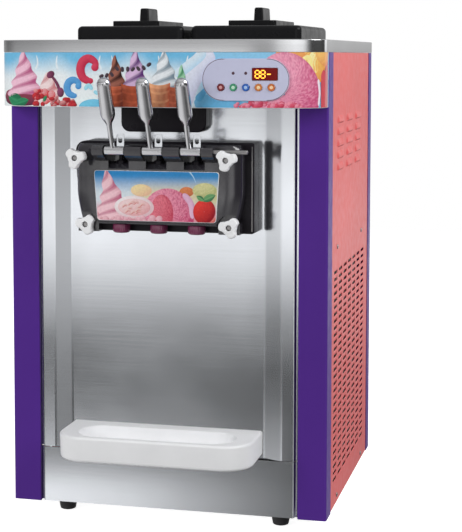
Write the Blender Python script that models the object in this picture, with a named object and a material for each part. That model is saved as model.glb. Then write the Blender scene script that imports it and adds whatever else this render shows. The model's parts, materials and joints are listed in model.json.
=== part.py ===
"""Counter-top soft serve machine with two freezing cylinders and three draw valves.

Units are metres and +Z is up. The origin is on the surface that the machine stands on,
under the middle of its outer box. The machine's front faces -Y.
"""
import math

import bmesh
import bpy
from mathutils import Matrix, Vector

# Driving dimensions of the cabinet
CABINET_WIDTH = 0.540
CABINET_DEPTH = 0.500
CABINET_FRONT = -0.1871          # Y of the front face of the corner columns
FOOT_HEIGHT = 0.022
BODY_HEIGHT = 0.783              # from the columns' lower ends to the top deck
BAND_HEIGHT = 0.020              # skirt of the top cover
FASCIA_HEIGHT = 0.088
PANEL_SPLIT = 0.095              # seam between the two front panels, above the columns' ends
SHEET = 0.0015
GAP = 0.0003

# Corner columns
COLUMN_WIDTH = 0.048
FRONT_COLUMN_DEPTH = 0.044
REAR_COLUMN_DEPTH = 0.036
COLUMN_WALL = 0.0018
COLUMN_LIP = 0.006

# Bowed front of the top cover and of the fascia, a superellipse in plan
BOW_START = 0.020
BOW_DEPTH = 0.065
BOW_POWER = 2.6

# Side grilles and louvres
SLOT_COLUMNS = 7
SLOT_ROWS = 8
SLOT_LENGTH = 0.035
SLOT_HEIGHT = 0.0052
SLOT_PITCH_Y = 0.0514
SLOT_PITCH_Z = 0.0468
LOUVRE_COLUMNS = 3
LOUVRE_ROWS = 5
LOUVRE_PITCH_Y = 0.099
LOUVRE_PITCH_Z = 0.0197
LOUVRE_LENGTH = 0.064
LOUVRE_HEIGHT = 0.014

# Dispensing head
VALVE_PITCH = 0.0632
VALVE_AXIS = 0.042               # in front of the columns' front face
PIVOT_AXIS = 0.079
PIVOT_HEIGHT = 0.606
CYLINDER_OFFSET = 0.0667
FEED_DEPTH = 0.168               # drain from each hopper, behind the columns' front face
CYLINDER_HEIGHT = 0.545
HEAD_BACK = 0.0274
HEAD_FRONT = 0.0580
LEVER_LEAN = math.radians(23.4)
TOP_KNOB = (0.1239, 0.0878, 0.594)
LOW_KNOB = (0.1200, 0.0478, 0.4835)

# Hoppers and lids
LID_CENTRE = 0.105
LID_HALF_WIDTH = 0.0945
LID_FRONT = 0.134
LID_BACK = 0.400

# Lead entry in the back panel
GLAND_ACROSS = 0.170
GLAND_HEIGHT = 0.050

# Control panel
PANEL_LEFT = 0.0832
PANEL_RIGHT = 0.2186
PANEL_LOW = 0.6868
PANEL_HIGH = 0.7530
BUTTON_HEIGHT = 0.7078
BUTTON_FIRST = 0.1127
BUTTON_PITCH = 0.01945

SIDES = {"left": -1.0, "right": 1.0}
VALVES = {"left": -VALVE_PITCH, "centre": 0.0, "right": VALVE_PITCH}

MATERIALS = {}


def clear_scene():
    for old in list(bpy.data.objects):
        bpy.data.objects.remove(old, do_unlink=True)


def material(name, colour, roughness, metallic=0.0):
    if name not in MATERIALS:
        made = bpy.data.materials.new(name)
        made.use_nodes = True
        shader = made.node_tree.nodes["Principled BSDF"]
        shader.inputs["Base Color"].default_value = (*colour, 1.0)
        shader.inputs["Roughness"].default_value = roughness
        shader.inputs["Metallic"].default_value = metallic
        MATERIALS[name] = made
    return MATERIALS[name]


def steel():
    return material("stainless_steel", (0.62, 0.62, 0.63), 0.32, 1.0)


def chrome():
    return material("polished_steel", (0.72, 0.72, 0.73), 0.12, 1.0)


def black_plastic():
    return material("black_plastic", (0.018, 0.018, 0.022), 0.35)


def white_plastic():
    return material("white_plastic", (0.86, 0.86, 0.86), 0.35)


def dark_metal():
    return material("dark_metal", (0.08, 0.08, 0.085), 0.5, 0.6)


def y_at(depth):
    """Y of a point that lies depth behind the cabinet's front face."""
    return CABINET_FRONT + depth


def z_at(height):
    """Z of a point that lies height above the columns' lower ends."""
    return FOOT_HEIGHT + height


def finish(name, mesh_data, look, location=(0.0, 0.0, 0.0), smooth=True):
    bmesh.ops.recalc_face_normals(mesh_data, faces=mesh_data.faces)
    mesh = bpy.data.meshes.new(name)
    mesh_data.to_mesh(mesh)
    mesh_data.free()
    mesh.materials.append(look)
    if smooth:
        mesh.shade_smooth()
        mesh.set_sharp_from_angle(angle=math.radians(35))
    made = bpy.data.objects.new(name, mesh)
    made.location = location
    bpy.context.scene.collection.objects.link(made)
    return made


def add_loft(target, rings, closed=False):
    """Skin a row of rings that all have the same number of points."""
    rows = [[target.verts.new(point) for point in ring] for ring in rings]
    pairs = list(zip(rows, rows[1:]))
    if closed:
        pairs.append((rows[-1], rows[0]))
    for lower, upper in pairs:
        count = len(lower)
        for i in range(count):
            j = (i + 1) % count
            target.faces.new((lower[i], lower[j], upper[j], upper[i]))
    if not closed:
        target.faces.new(list(reversed(rows[0])))
        target.faces.new(rows[-1])


def loft(name, rings, look, location=(0.0, 0.0, 0.0), closed=False):
    made = bmesh.new()
    add_loft(made, rings, closed)
    return finish(name, made, look, location)


def lofts(name, ring_sets, look, location=(0.0, 0.0, 0.0), twisted=False):
    """Several separate lofts in one mesh, for a cutter or for a union."""
    made = bmesh.new()
    for rings in ring_sets:
        add_loft(made, rings)
    if twisted:
        bmesh.ops.triangulate(made, faces=made.faces[:], quad_method="FIXED")
    return finish(name, made, look, location)


def on_z(outline, height):
    return [(x, y, height) for x, y in outline]


def on_y(outline, depth):
    return [(x, depth, z) for x, z in outline]


def on_x(outline, across):
    return [(across, y, z) for y, z in outline]


def box_rings(low, high):
    outline = [(low[0], low[1]), (high[0], low[1]), (high[0], high[1]), (low[0], high[1])]
    return [on_z(outline, low[2]), on_z(outline, high[2])]


def rounded_rect(low, high, radius, inset=0.0, steps=3):
    """Outline of a rectangle with round corners, counter-clockwise."""
    turn = max(radius - inset, 0.0004)
    centres = (
        (high[0] - inset - turn, high[1] - inset - turn, 0),
        (low[0] + inset + turn, high[1] - inset - turn, 90),
        (low[0] + inset + turn, low[1] + inset + turn, 180),
        (high[0] - inset - turn, low[1] + inset + turn, 270),
    )
    points = []
    for x, y, start in centres:
        for step in range(steps + 1):
            angle = math.radians(start + 90.0 * step / steps)
            points.append((x + turn * math.cos(angle), y + turn * math.sin(angle)))
    return points


def circle(radius, count=24, centre=(0.0, 0.0), phase=0.0):
    points = []
    for i in range(count):
        angle = phase + 2 * math.pi * i / count
        points.append((centre[0] + radius * math.cos(angle), centre[1] + radius * math.sin(angle)))
    return points


def turned(profile, axis="Z", count=24, centre=(0.0, 0.0)):
    """Rings of a turned piece from (radius, position) pairs along an axis."""
    place = {"X": on_x, "Y": on_y, "Z": on_z}[axis]
    return [place(circle(radius, count, centre), position) for radius, position in profile]


def as_guide(made):
    made.hide_render = True
    made.display_type = "WIRE"
    return made


def cut(target, cutter):
    as_guide(cutter)
    step = target.modifiers.new("cut_" + cutter.name, "BOOLEAN")
    step.operation = "DIFFERENCE"
    step.object = cutter


def unite(target, other):
    as_guide(other)
    step = target.modifiers.new("unite_" + other.name, "BOOLEAN")
    step.operation = "UNION"
    step.object = other


def bow(x, inset=0.0):
    """How far the bowed front stands in front of the columns at x."""
    half = CABINET_WIDTH / 2 - inset
    share = min(abs(x) / half, 1.0)
    return BOW_START + (BOW_DEPTH - inset) * (1 - share ** BOW_POWER) ** (1 / BOW_POWER)


def bow_normal(x):
    """Unit vector in plan that points out of the bowed front at x."""
    step = 0.0005
    slope = (bow(x + step) - bow(x - step)) / (2 * step)
    return Vector((-slope, -1.0, 0.0)).normalized()


def bow_point(x, height, lift=0.0):
    """A point on the bowed fascia, lifted off its surface along its normal."""
    base = Vector((x, y_at(-bow(x)), z_at(height)))
    return base + bow_normal(x) * lift


def bowed_outline(inset, back, steps=24):
    """Plan of a D shape: bowed in front, straight at the sides and the back."""
    half = CABINET_WIDTH / 2 - inset
    depth = BOW_DEPTH - inset
    points = [(half, y_at(back) - inset), (-half, y_at(back) - inset)]
    for i in range(steps + 1):
        angle = math.pi * i / steps
        across = -math.copysign(abs(math.cos(angle)) ** (2 / BOW_POWER), math.cos(angle))
        ahead = abs(math.sin(angle)) ** (2 / BOW_POWER)
        points.append((half * across, y_at(-BOW_START - depth * ahead)))
    return points


def corner_column(name, side, depth, front):
    """An angle-section post with a lip along its inner edge."""
    wall = COLUMN_WALL
    turn = 0.004
    steps = 4
    profile = []
    for step in range(steps + 1):
        angle = math.radians(180 + 90 * step / steps)
        profile.append((turn + turn * math.cos(angle), turn + turn * math.sin(angle)))
    profile += [
        (COLUMN_WIDTH, 0.0),
        (COLUMN_WIDTH, COLUMN_LIP),
        (COLUMN_WIDTH - wall, COLUMN_LIP),
        (COLUMN_WIDTH - wall, wall),
    ]
    for step in range(steps + 1):
        angle = math.radians(270 - 90 * step / steps)
        inner = turn - wall
        profile.append((turn + inner * math.cos(angle), turn + inner * math.sin(angle)))
    profile += [(wall, depth), (0.0, depth)]
    corner = CABINET_WIDTH / 2
    outline = []
    for across, inward in profile:
        y = y_at(inward) if front else y_at(CABINET_DEPTH - inward)
        outline.append((side * (corner - across), y))
    top = BODY_HEIGHT - BAND_HEIGHT - GAP
    purple = material("purple_paint", (0.085, 0.045, 0.26), 0.4)
    loft(name, [on_z(outline, z_at(0.0)), on_z(outline, z_at(top))], purple)


def corner_columns():
    for name, side in SIDES.items():
        corner_column("column_front_" + name, side, FRONT_COLUMN_DEPTH, True)
        corner_column("column_rear_" + name, side, REAR_COLUMN_DEPTH, False)


def side_panel(name, side):
    """A painted side sheet with pressed louvres above and a slotted grille below."""
    outer = CABINET_WIDTH / 2 - 0.001
    inner = outer - 0.0012
    front = FRONT_COLUMN_DEPTH + SHEET
    back = CABINET_DEPTH - REAR_COLUMN_DEPTH - SHEET
    low = (min(side * inner, side * outer), y_at(front), z_at(0.001))
    high = (max(side * inner, side * outer), y_at(back), z_at(BODY_HEIGHT - BAND_HEIGHT - GAP))
    coral = material("coral_paint", (0.72, 0.13, 0.13), 0.4)
    panel = loft(name, box_rings(low, high), coral)

    slots = []
    for column in range(SLOT_COLUMNS):
        centre_y = y_at(0.0896 + column * SLOT_PITCH_Y)
        for row in range(SLOT_ROWS):
            centre_z = z_at(0.0465 + row * SLOT_PITCH_Z)
            corner = (side * outer - 0.004, centre_y - SLOT_LENGTH / 2, centre_z - SLOT_HEIGHT / 2)
            far = (side * outer + 0.004, centre_y + SLOT_LENGTH / 2, centre_z + SLOT_HEIGHT / 2)
            slots.append(box_rings(corner, far))
    cut(panel, lofts("slots_" + name, slots, coral))

    bumps = []
    for column in range(LOUVRE_COLUMNS):
        centre_y = y_at(0.128 + column * LOUVRE_PITCH_Y)
        for row in range(LOUVRE_ROWS):
            centre_z = z_at(0.573 + row * LOUVRE_PITCH_Z)
            near = (centre_y - LOUVRE_LENGTH / 2, centre_z - LOUVRE_HEIGHT / 2)
            far = (centre_y + LOUVRE_LENGTH / 2, centre_z + LOUVRE_HEIGHT / 2)
            foot = [near, (far[0], near[1]), far, (near[0], far[1])]
            crest = [(y * 0.86 + centre_y * 0.14, z * 0.4 + centre_z * 0.6) for y, z in foot]
            bumps.append([on_x(foot, side * (outer - 0.0005)), on_x(crest, side * (outer + 0.0035))])
    unite(panel, lofts("louvres_" + name, bumps, coral))


def back_panel():
    half = CABINET_WIDTH / 2 - COLUMN_WIDTH - 0.0005
    rear = CABINET_DEPTH - 0.001
    low = (-half, y_at(rear - SHEET), z_at(0.001))
    high = (half, y_at(rear), z_at(BODY_HEIGHT - BAND_HEIGHT - GAP))
    panel = loft("back_panel", box_rings(low, high), steel())
    slots = []
    for centre in (-0.105, 0.105):
        for row in range(9):
            z = z_at(0.16 + row * 0.032)
            near = (centre - 0.08, y_at(rear - 0.01), z)
            far = (centre + 0.08, y_at(rear + 0.01), z + 0.007)
            slots.append(box_rings(near, far))
    gland_hole = [(0.009, y_at(rear - 0.01)), (0.009, y_at(rear + 0.01))]
    slots.append(turned(gland_hole, "Y", 20, (GLAND_ACROSS, z_at(GLAND_HEIGHT))))
    cut(panel, lofts("back_cutter", slots, steel()))


def tucked_sheet(half, front_points, back_points):
    """Plan of a front sheet whose side edges fold back and reach behind the columns' lips."""
    fold = COLUMN_LIP + 0.0025
    reach = half + 0.018
    plan = [(-half, 0.0)] + front_points + [(half, 0.0), (half, fold), (reach, fold)]
    plan += [(reach, fold + SHEET), (half - SHEET, fold + SHEET), (half - SHEET, SHEET)]
    plan += back_points + [(-half + SHEET, SHEET), (-half + SHEET, fold + SHEET)]
    plan += [(-reach, fold + SHEET), (-reach, fold), (-half, fold)]
    return [(x, y_at(y)) for x, y in plan]


def front_panels():
    """A pressed upper sheet with a recessed field, and a flat lower sheet."""
    half = CABINET_WIDTH / 2 - COLUMN_WIDTH - 0.0053
    field = [(-0.194, 0.0), (-0.166, 0.007), (0.166, 0.007), (0.194, 0.0)]
    back_field = [(x, y + SHEET) for x, y in reversed(field)]
    top = BODY_HEIGHT - BAND_HEIGHT - GAP
    outline = tucked_sheet(half, field, back_field)
    seam = PANEL_SPLIT + 0.0005
    upper = loft("front_panel_upper", [on_z(outline, z_at(seam)), on_z(outline, z_at(top))], steel())
    window = box_rings((-0.135, y_at(-0.01), z_at(0.482)), (0.135, y_at(0.02), z_at(0.606)))
    cut(upper, lofts("head_opening", [window], steel()))
    outline = tucked_sheet(half, [], [])
    seam = PANEL_SPLIT - 0.0005
    loft("front_panel_lower", [on_z(outline, z_at(0.001)), on_z(outline, z_at(seam))], steel())


def chassis_base():
    """The folded floor pan that carries the compressor and the condenser."""
    half = CABINET_WIDTH / 2 - 0.0028
    front = y_at(COLUMN_LIP + 0.0045)
    back = y_at(CABINET_DEPTH - COLUMN_LIP - 0.0005)
    outer = rounded_rect((-half, front), (half, back), 0.003, 0, 2)
    inner = rounded_rect((-half, front), (half, back), 0.003, SHEET, 2)
    rim = z_at(0.028)
    rings = [on_z(outer, z_at(GAP)), on_z(outer, rim), on_z(inner, rim), on_z(inner, z_at(0.0018))]
    loft("chassis_base", rings, steel())


def machine_shelf():
    """The folded shelf under the freezing cylinders and the gear motors."""
    half = CABINET_WIDTH / 2 - 0.0035
    low = (-half, y_at(0.0465))
    high = (half, y_at(0.460))
    outer = rounded_rect(low, high, 0.003, 0, 2)
    inner = rounded_rect(low, high, 0.003, 0.002, 2)
    edge = z_at(0.482)
    rings = [on_z(outer, z_at(0.4970)), on_z(outer, edge), on_z(inner, edge), on_z(inner, z_at(0.4950))]
    loft("machine_shelf", rings, steel())


def feet():
    rubber = material("black_rubber", (0.02, 0.02, 0.02), 0.7)
    top = FOOT_HEIGHT - GAP
    profile = [(0.0128, 0.0), (0.0140, 0.0015), (0.0168, top - 0.0027), (0.0168, top)]
    for place, depth in (("front", 0.040), ("rear", CABINET_DEPTH - 0.045)):
        for name, side in SIDES.items():
            loft(f"foot_{place}_{name}", turned(profile), rubber, (side * 0.187, y_at(depth), 0.0))


def top_cover():
    """The top deck, bowed in front, with a skirt all round and two hopper openings."""
    back = CABINET_DEPTH
    low = z_at(BODY_HEIGHT - BAND_HEIGHT)
    high = z_at(BODY_HEIGHT)
    rings = [
        on_z(bowed_outline(0.0016, back), high),
        on_z(bowed_outline(0.0004, back), high - 0.0008),
        on_z(bowed_outline(0.0, back), high - 0.0020),
        on_z(bowed_outline(0.0, back), low),
        on_z(bowed_outline(SHEET, back), low),
        on_z(bowed_outline(SHEET, back), high - SHEET),
    ]
    cover = loft("top_cover", rings, steel())
    openings = []
    for side in SIDES.values():
        centre = side * LID_CENTRE
        outline = rounded_rect((centre - 0.0850, y_at(0.145)), (centre + 0.0850, y_at(0.390)), 0.02)
        openings.append([on_z(outline, high - 0.01), on_z(outline, high + 0.01)])
    cut(cover, lofts("hopper_openings", openings, steel()))


def fascia():
    """The bowed moulded header with its floor, open on top under the deck's skirt."""
    low = z_at(BODY_HEIGHT - BAND_HEIGHT - FASCIA_HEIGHT)
    high = z_at(BODY_HEIGHT - BAND_HEIGHT - GAP)
    back = -GAP
    wall = 0.0025
    rings = [
        on_z(bowed_outline(0.0016, back), low),
        on_z(bowed_outline(0.0006, back), low + 0.0012),
        on_z(bowed_outline(0.0006, back), high),
        on_z(bowed_outline(0.0006 + wall, back), high),
        on_z(bowed_outline(0.0006 + wall, back), low + wall),
    ]
    look = material("printed_film", (0.72, 0.83, 0.93), 0.25)
    loft("fascia", rings, look)


def bow_slab(name, outline, lift, thickness, look, columns):
    """A plate with a rounded outline that follows the bowed front."""
    low_x = min(x for x, z in outline)
    high_x = max(x for x, z in outline)
    rings = []
    for i in range(columns + 1):
        share = 0.5 - 0.5 * math.cos(math.pi * i / columns)
        x = low_x + (high_x - low_x) * (0.01 + 0.98 * share)
        heights = []
        for (x0, z0), (x1, z1) in zip(outline, outline[1:] + outline[:1]):
            if (x0 - x) * (x1 - x) < 0:
                heights.append(z0 + (z1 - z0) * (x - x0) / (x1 - x0))
        bottom = min(heights)
        top = max(heights)
        ring = [
            bow_point(x, bottom, lift),
            bow_point(x, bottom, lift + thickness),
            bow_point(x, top, lift + thickness),
            bow_point(x, top, lift),
        ]
        rings.append(ring)
    return loft(name, rings, look)


def button_x(index):
    return BUTTON_FIRST + index * BUTTON_PITCH


def button_rings(x, radius, start, end, count=16):
    """Rings of a round piece square to the fascia at x, around its own origin."""
    normal = bow_normal(x)
    across = Vector((-normal.y, normal.x, 0.0))
    up = Vector((0.0, 0.0, 1.0))
    rings = []
    for size, lift in ((radius, start), (radius, end - 0.0006), (radius - 0.0008, end)):
        ring = [normal * lift + across * a + up * b for a, b in circle(size, count)]
        rings.append(ring)
    return rings


def shifted(rings, offset):
    return [[Vector(point) + Vector(offset) for point in ring] for ring in rings]


def control_panel():
    """The bezel on the fascia, with a display window and five round push buttons."""
    outline = rounded_rect((PANEL_LEFT, PANEL_LOW), (PANEL_RIGHT, PANEL_HIGH), 0.032, 0, 10)
    plastic = material("lilac_plastic", (0.74, 0.72, 0.82), 0.3)
    bezel = bow_slab("control_panel", outline, 0.0, 0.0040, plastic, 14)
    holes = []
    for i in range(5):
        x = button_x(i)
        holes.append(shifted(button_rings(x, 0.0062, -0.004, 0.010), bow_point(x, BUTTON_HEIGHT)))
    cut(bezel, lofts("button_holes", holes, plastic))
    window = rounded_rect((0.1608, 0.7183), (0.2009, 0.7387), 0.002, 0, 2)
    opening = bow_slab("window_opening", window, -0.003, 0.012, plastic, 6)
    cut(bezel, opening)
    pane = rounded_rect((0.1613, 0.7188), (0.2004, 0.7382), 0.002, 0, 2)
    glass = material("display_glass", (0.16, 0.01, 0.015), 0.12)
    bow_slab("display_window", pane, 0.0003, 0.0034, glass, 6)
    colours = {
        "button_maroon": (0.23, 0.02, 0.03),
        "button_green": (0.02, 0.35, 0.16),
        "button_blue": (0.02, 0.18, 0.62),
        "button_amber": (0.80, 0.30, 0.04),
        "button_orange": (0.85, 0.22, 0.05),
    }
    for i, (name, colour) in enumerate(colours.items()):
        x = button_x(i)
        rings = button_rings(x, 0.0057, 0.0, 0.0044)
        loft(name, rings, material(name, colour, 0.3), bow_point(x, BUTTON_HEIGHT, 0.0018))


def switch_cover():
    """The small black cover under the fascia that hides the lever switches."""
    high = BODY_HEIGHT - BAND_HEIGHT - FASCIA_HEIGHT - GAP
    low = z_at(0.633)
    outline = rounded_rect((-0.072, low), (0.072, z_at(high + 0.014)), 0.013)
    clipped = [(x, min(z, z_at(high))) for x, z in outline]
    trimmed = []
    for point in clipped:
        if point not in trimmed:
            trimmed.append(point)
    inner = [(x * 0.975, low + (z - low) * 0.96 + 0.0008) for x, z in trimmed]
    rings = [on_y(trimmed, y_at(0.0065)), on_y(trimmed, y_at(-0.0135)), on_y(inner, y_at(-0.0150))]
    loft("switch_cover", rings, black_plastic())


def hopper(name, side):
    """A deep-drawn mix tub with a rim on the deck and a spout to its cylinder."""
    centre = side * LID_CENTRE
    low = (centre - 0.0838, y_at(0.1462))
    high = (centre + 0.0838, y_at(0.3888))
    rim_low = (centre - 0.0920, y_at(0.1365))
    rim_high = (centre + 0.0920, y_at(0.3975))
    deck = BODY_HEIGHT
    wall = 0.0012
    rings = [
        on_z(rounded_rect(low, high, 0.019, 0.008), z_at(0.6200)),
        on_z(rounded_rect(low, high, 0.019, 0.0), z_at(0.6270)),
        on_z(rounded_rect(low, high, 0.019, 0.0), z_at(deck + GAP)),
        on_z(rounded_rect(rim_low, rim_high, 0.024, 0.0), z_at(deck + GAP)),
        on_z(rounded_rect(rim_low, rim_high, 0.024, 0.0), z_at(deck + GAP + wall)),
        on_z(rounded_rect(low, high, 0.019, wall), z_at(deck + GAP + wall)),
        on_z(rounded_rect(low, high, 0.019, wall), z_at(0.6275)),
        on_z(rounded_rect(low, high, 0.019, 0.008 + wall), z_at(0.6212)),
    ]
    tub = loft(name, rings, steel())
    spout_at = (side * CYLINDER_OFFSET, y_at(FEED_DEPTH))
    spout = turned([(0.010, z_at(0.5915)), (0.010, z_at(0.6208))], "Z", 16, spout_at)
    unite(tub, lofts("spout_" + name, [spout], steel()))
    drain = turned([(0.0055, z_at(0.585)), (0.0055, z_at(0.630))], "Z", 12, spout_at)
    cut(tub, lofts("drain_" + name, [drain], steel()))


def lid(name, side):
    """A moulded black lid with a raised plate and a bar handle that runs front to back."""
    low = (-LID_HALF_WIDTH, -(LID_BACK - LID_FRONT) / 2)
    high = (LID_HALF_WIDTH, (LID_BACK - LID_FRONT) / 2)
    top = 0.0233
    rings = [
        on_z(rounded_rect(low, high, 0.012, 0.0040), top),
        on_z(rounded_rect(low, high, 0.012, 0.0012), top - 0.0012),
        on_z(rounded_rect(low, high, 0.012, 0.0), top - 0.0040),
        on_z(rounded_rect(low, high, 0.012, 0.0), 0.0),
        on_z(rounded_rect(low, high, 0.012, 0.0025), 0.0),
        on_z(rounded_rect(low, high, 0.012, 0.0025), top - 0.0025),
    ]
    middle = (LID_FRONT + LID_BACK) / 2
    place = (side * LID_CENTRE, y_at(middle), z_at(BODY_HEIGHT + 0.0027))
    made = loft(name, rings, black_plastic(), place)
    plate_low = (-0.0425, -0.087)
    plate_high = (0.0425, 0.087)
    plate = [
        on_z(rounded_rect(plate_low, plate_high, 0.006), top - 0.001),
        on_z(rounded_rect(plate_low, plate_high, 0.006), 0.0318),
        on_z(rounded_rect(plate_low, plate_high, 0.006, 0.0012), 0.0330),
    ]
    unite(made, lofts("plate_" + name, [plate], black_plastic(), place))
    handle = [
        on_z(rounded_rect((-0.0095, -0.0335), (0.0095, 0.0335), 0.003), 0.0320),
        on_z(rounded_rect((-0.0078, -0.0315), (0.0078, 0.0315), 0.003), 0.0555),
        on_z(rounded_rect((-0.0078, -0.0315), (0.0078, 0.0315), 0.003, 0.0012), 0.0568),
    ]
    unite(made, lofts("handle_" + name, [handle], black_plastic(), place))


def air_tube(name, side):
    """The mix feed tube that stands in the hopper over its outlet."""
    place = (side * CYLINDER_OFFSET, y_at(FEED_DEPTH), z_at(0.6215))
    rings = turned([(0.0088, 0.0), (0.0088, 0.135), (0.0060, 0.135), (0.0060, 0.0)], "Z", 16)
    loft(name, rings, white_plastic(), place, closed=True)


def freezing_cylinder(name, side):
    """The insulated barrel that opens towards the head and has a shaft hole at its back."""
    axis = (side * CYLINDER_OFFSET, z_at(CYLINDER_HEIGHT))
    profile = [
        (0.0460, y_at(0.0003)),
        (0.0460, y_at(0.252)),
        (0.0085, y_at(0.252)),
        (0.0085, y_at(0.246)),
        (0.0370, y_at(0.246)),
        (0.0370, y_at(0.0003)),
    ]
    barrel = loft(name, turned(profile, "Y", 32, axis), steel(), closed=True)
    inlet = turned([(0.0055, z_at(0.560)), (0.0055, z_at(0.600))], "Z", 12, (axis[0], y_at(FEED_DEPTH)))
    cut(barrel, lofts("inlet_" + name, [inlet], steel()))


def beater(name, side):
    """A scraper screw on its drive shaft."""
    place = (side * CYLINDER_OFFSET, y_at(0.0), z_at(CYLINDER_HEIGHT))
    shaft = [(0.0055, -0.0255), (0.0070, -0.0240), (0.0070, 0.272), (0.0055, 0.2735)]
    white = white_plastic()
    made = loft(name, turned(shaft, "Y", 12), white, place)
    turns = 2.5
    steps = 20
    rings = []
    for i in range(steps + 1):
        share = i / steps
        angle = side * 2 * math.pi * turns * share
        depth = 0.004 + 0.222 * share
        radial = Vector((math.cos(angle), 0.0, math.sin(angle)))
        ring = []
        for radius, shift in ((0.0055, 0.0), (0.0355, 0.0), (0.0355, 0.003), (0.0055, 0.003)):
            point = radial * radius
            ring.append((point.x, depth + shift, point.z))
        rings.append(ring)
    unite(made, lofts("screw_" + name, [rings], white, place, twisted=True))


def gear_motor(name, side):
    """A gearbox and its motor behind each freezing cylinder."""
    axis = (side * CYLINDER_OFFSET, z_at(CYLINDER_HEIGHT))
    low = (axis[0] - 0.040, y_at(0.2545), z_at(0.4975))
    high = (axis[0] + 0.040, y_at(0.315), z_at(0.590))
    made = loft(name, box_rings(low, high), dark_metal())
    profile = [(0.040, y_at(0.312)), (0.040, y_at(0.425)), (0.034, y_at(0.440)), (0.012, y_at(0.440))]
    unite(made, lofts("motor_" + name, [turned(profile, "Y", 20, axis)], dark_metal()))
    socket = turned([(0.0078, y_at(0.250)), (0.0078, y_at(0.285))], "Y", 16, axis)
    cut(made, lofts("socket_" + name, [socket], dark_metal()))


def compressor():
    centre = (-0.10, y_at(0.285))
    profile = [
        (0.040, z_at(0.0070)), (0.060, z_at(0.014)), (0.068, z_at(0.032)),
        (0.070, z_at(0.080)), (0.068, z_at(0.150)), (0.054, z_at(0.185)), (0.025, z_at(0.198)),
    ]
    made = loft("compressor", turned(profile, "Z", 24, centre), dark_metal())
    near = (centre[0] - 0.085, centre[1] - 0.060, z_at(0.0022))
    far = (centre[0] + 0.085, centre[1] + 0.060, z_at(0.0080))
    plate = box_rings(near, far)
    unite(made, lofts("compressor_plate", [plate], dark_metal()))


def condenser():
    """A finned block beside the right-hand grille."""
    outer = 0.258
    root = 0.226
    fins = 14
    start = 0.095
    pitch = 0.0225
    thick = 0.0040
    outline = [(0.222, y_at(start)), (0.222, y_at(start + (fins - 1) * pitch + thick))]
    for fin in reversed(range(fins)):
        near = start + fin * pitch
        outline += [(outer, y_at(near + thick)), (outer, y_at(near))]
        if fin > 0:
            outline += [(root, y_at(near)), (root, y_at(near - pitch + thick))]
    aluminium = material("aluminium", (0.6, 0.6, 0.6), 0.5, 1.0)
    loft("condenser", [on_z(outline, z_at(0.030)), on_z(outline, z_at(0.400))], aluminium)


def fan():
    """Five pitched blades on a hub that turns about X, and its motor on a stand."""
    centre = (y_at(0.2435), z_at(0.215))
    place = (0.190, *centre)
    dark = dark_metal()
    hub = [(0.012, -0.014), (0.022, -0.010), (0.022, 0.012), (0.016, 0.016)]
    made = loft("fan", turned(hub, "X", 20), dark, place)
    blades = []
    for i in range(5):
        turn = Matrix.Rotation(2 * math.pi * i / 5, 3, "X")
        rings = []
        for radius, chord, pitch in ((0.018, 0.014, 50), (0.060, 0.034, 38), (0.105, 0.044, 28)):
            tilt = Matrix.Rotation(math.radians(pitch), 3, "Z")
            half = chord / 2
            section = ((-0.001, -half), (0.001, -half), (0.001, half), (-0.001, half))
            out = Vector((0.0, 0.0, radius))
            rings.append([turn @ (tilt @ Vector((x, y, 0.0)) + out) for x, y in section])
        blades.append(rings)
    unite(made, lofts("fan_blades", blades, dark, place, twisted=True))
    profile = [
        (0.020, 0.108), (0.031, 0.114), (0.031, 0.160),
        (0.020, 0.168), (0.006, 0.168), (0.006, 0.1755),
    ]
    motor = loft("fan_motor", turned(profile, "X", 20, centre), dark)
    stand = box_rings((0.128, centre[0] - 0.018, z_at(0.0022)), (0.148, centre[0] + 0.018, z_at(0.200)))
    unite(motor, lofts("fan_stand", [stand], dark))


def cable_gland():
    """The strain-relief gland in the back panel where a mains lead would enter."""
    axis = (GLAND_ACROSS, z_at(GLAND_HEIGHT))
    rear = y_at(CABINET_DEPTH - 0.001)
    end = rear + 0.0105
    profile = [
        (0.0085, rear - 0.012), (0.0085, rear + GAP), (0.0130, rear + GAP), (0.0130, rear + 0.004),
        (0.0100, rear + 0.0045), (0.0085, end), (0.0045, end), (0.0045, rear - 0.012),
    ]
    loft("cable_gland", turned(profile, "Y", 20, axis), black_plastic(), closed=True)


def head_backing():
    """The insulated box that joins the cylinders to the head, with the four knob studs."""
    outline = rounded_rect((-0.1545, z_at(0.471)), (0.1545, z_at(0.618)), 0.003, 0, 2)
    rings = [on_y(outline, y_at(0.0065)), on_y(outline, y_at(-0.0270))]
    box = loft("head_backing", rings, black_plastic())
    bores = []
    for side in SIDES.values():
        axis = (side * CYLINDER_OFFSET, z_at(CYLINDER_HEIGHT))
        bores.append(turned([(0.0470, y_at(0.010)), (0.0470, y_at(-0.0005))], "Y", 32, axis))
    cut(box, lofts("cylinder_seats", bores, black_plastic()))
    mouths = []
    for side in SIDES.values():
        axis = (side * CYLINDER_OFFSET, z_at(CYLINDER_HEIGHT))
        mouths.append(turned([(0.0370, y_at(0.002)), (0.0370, y_at(-0.030))], "Y", 32, axis))
    cut(box, lofts("cylinder_mouths", mouths, black_plastic()))
    studs = []
    for across, front, height in (TOP_KNOB, LOW_KNOB):
        for side in SIDES.values():
            stud = [(0.004, y_at(-0.024)), (0.004, y_at(-front - 0.0105))]
            studs.append(turned(stud, "Y", 12, (side * across, z_at(height))))
    unite(box, lofts("studs", studs, black_plastic()))


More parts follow.
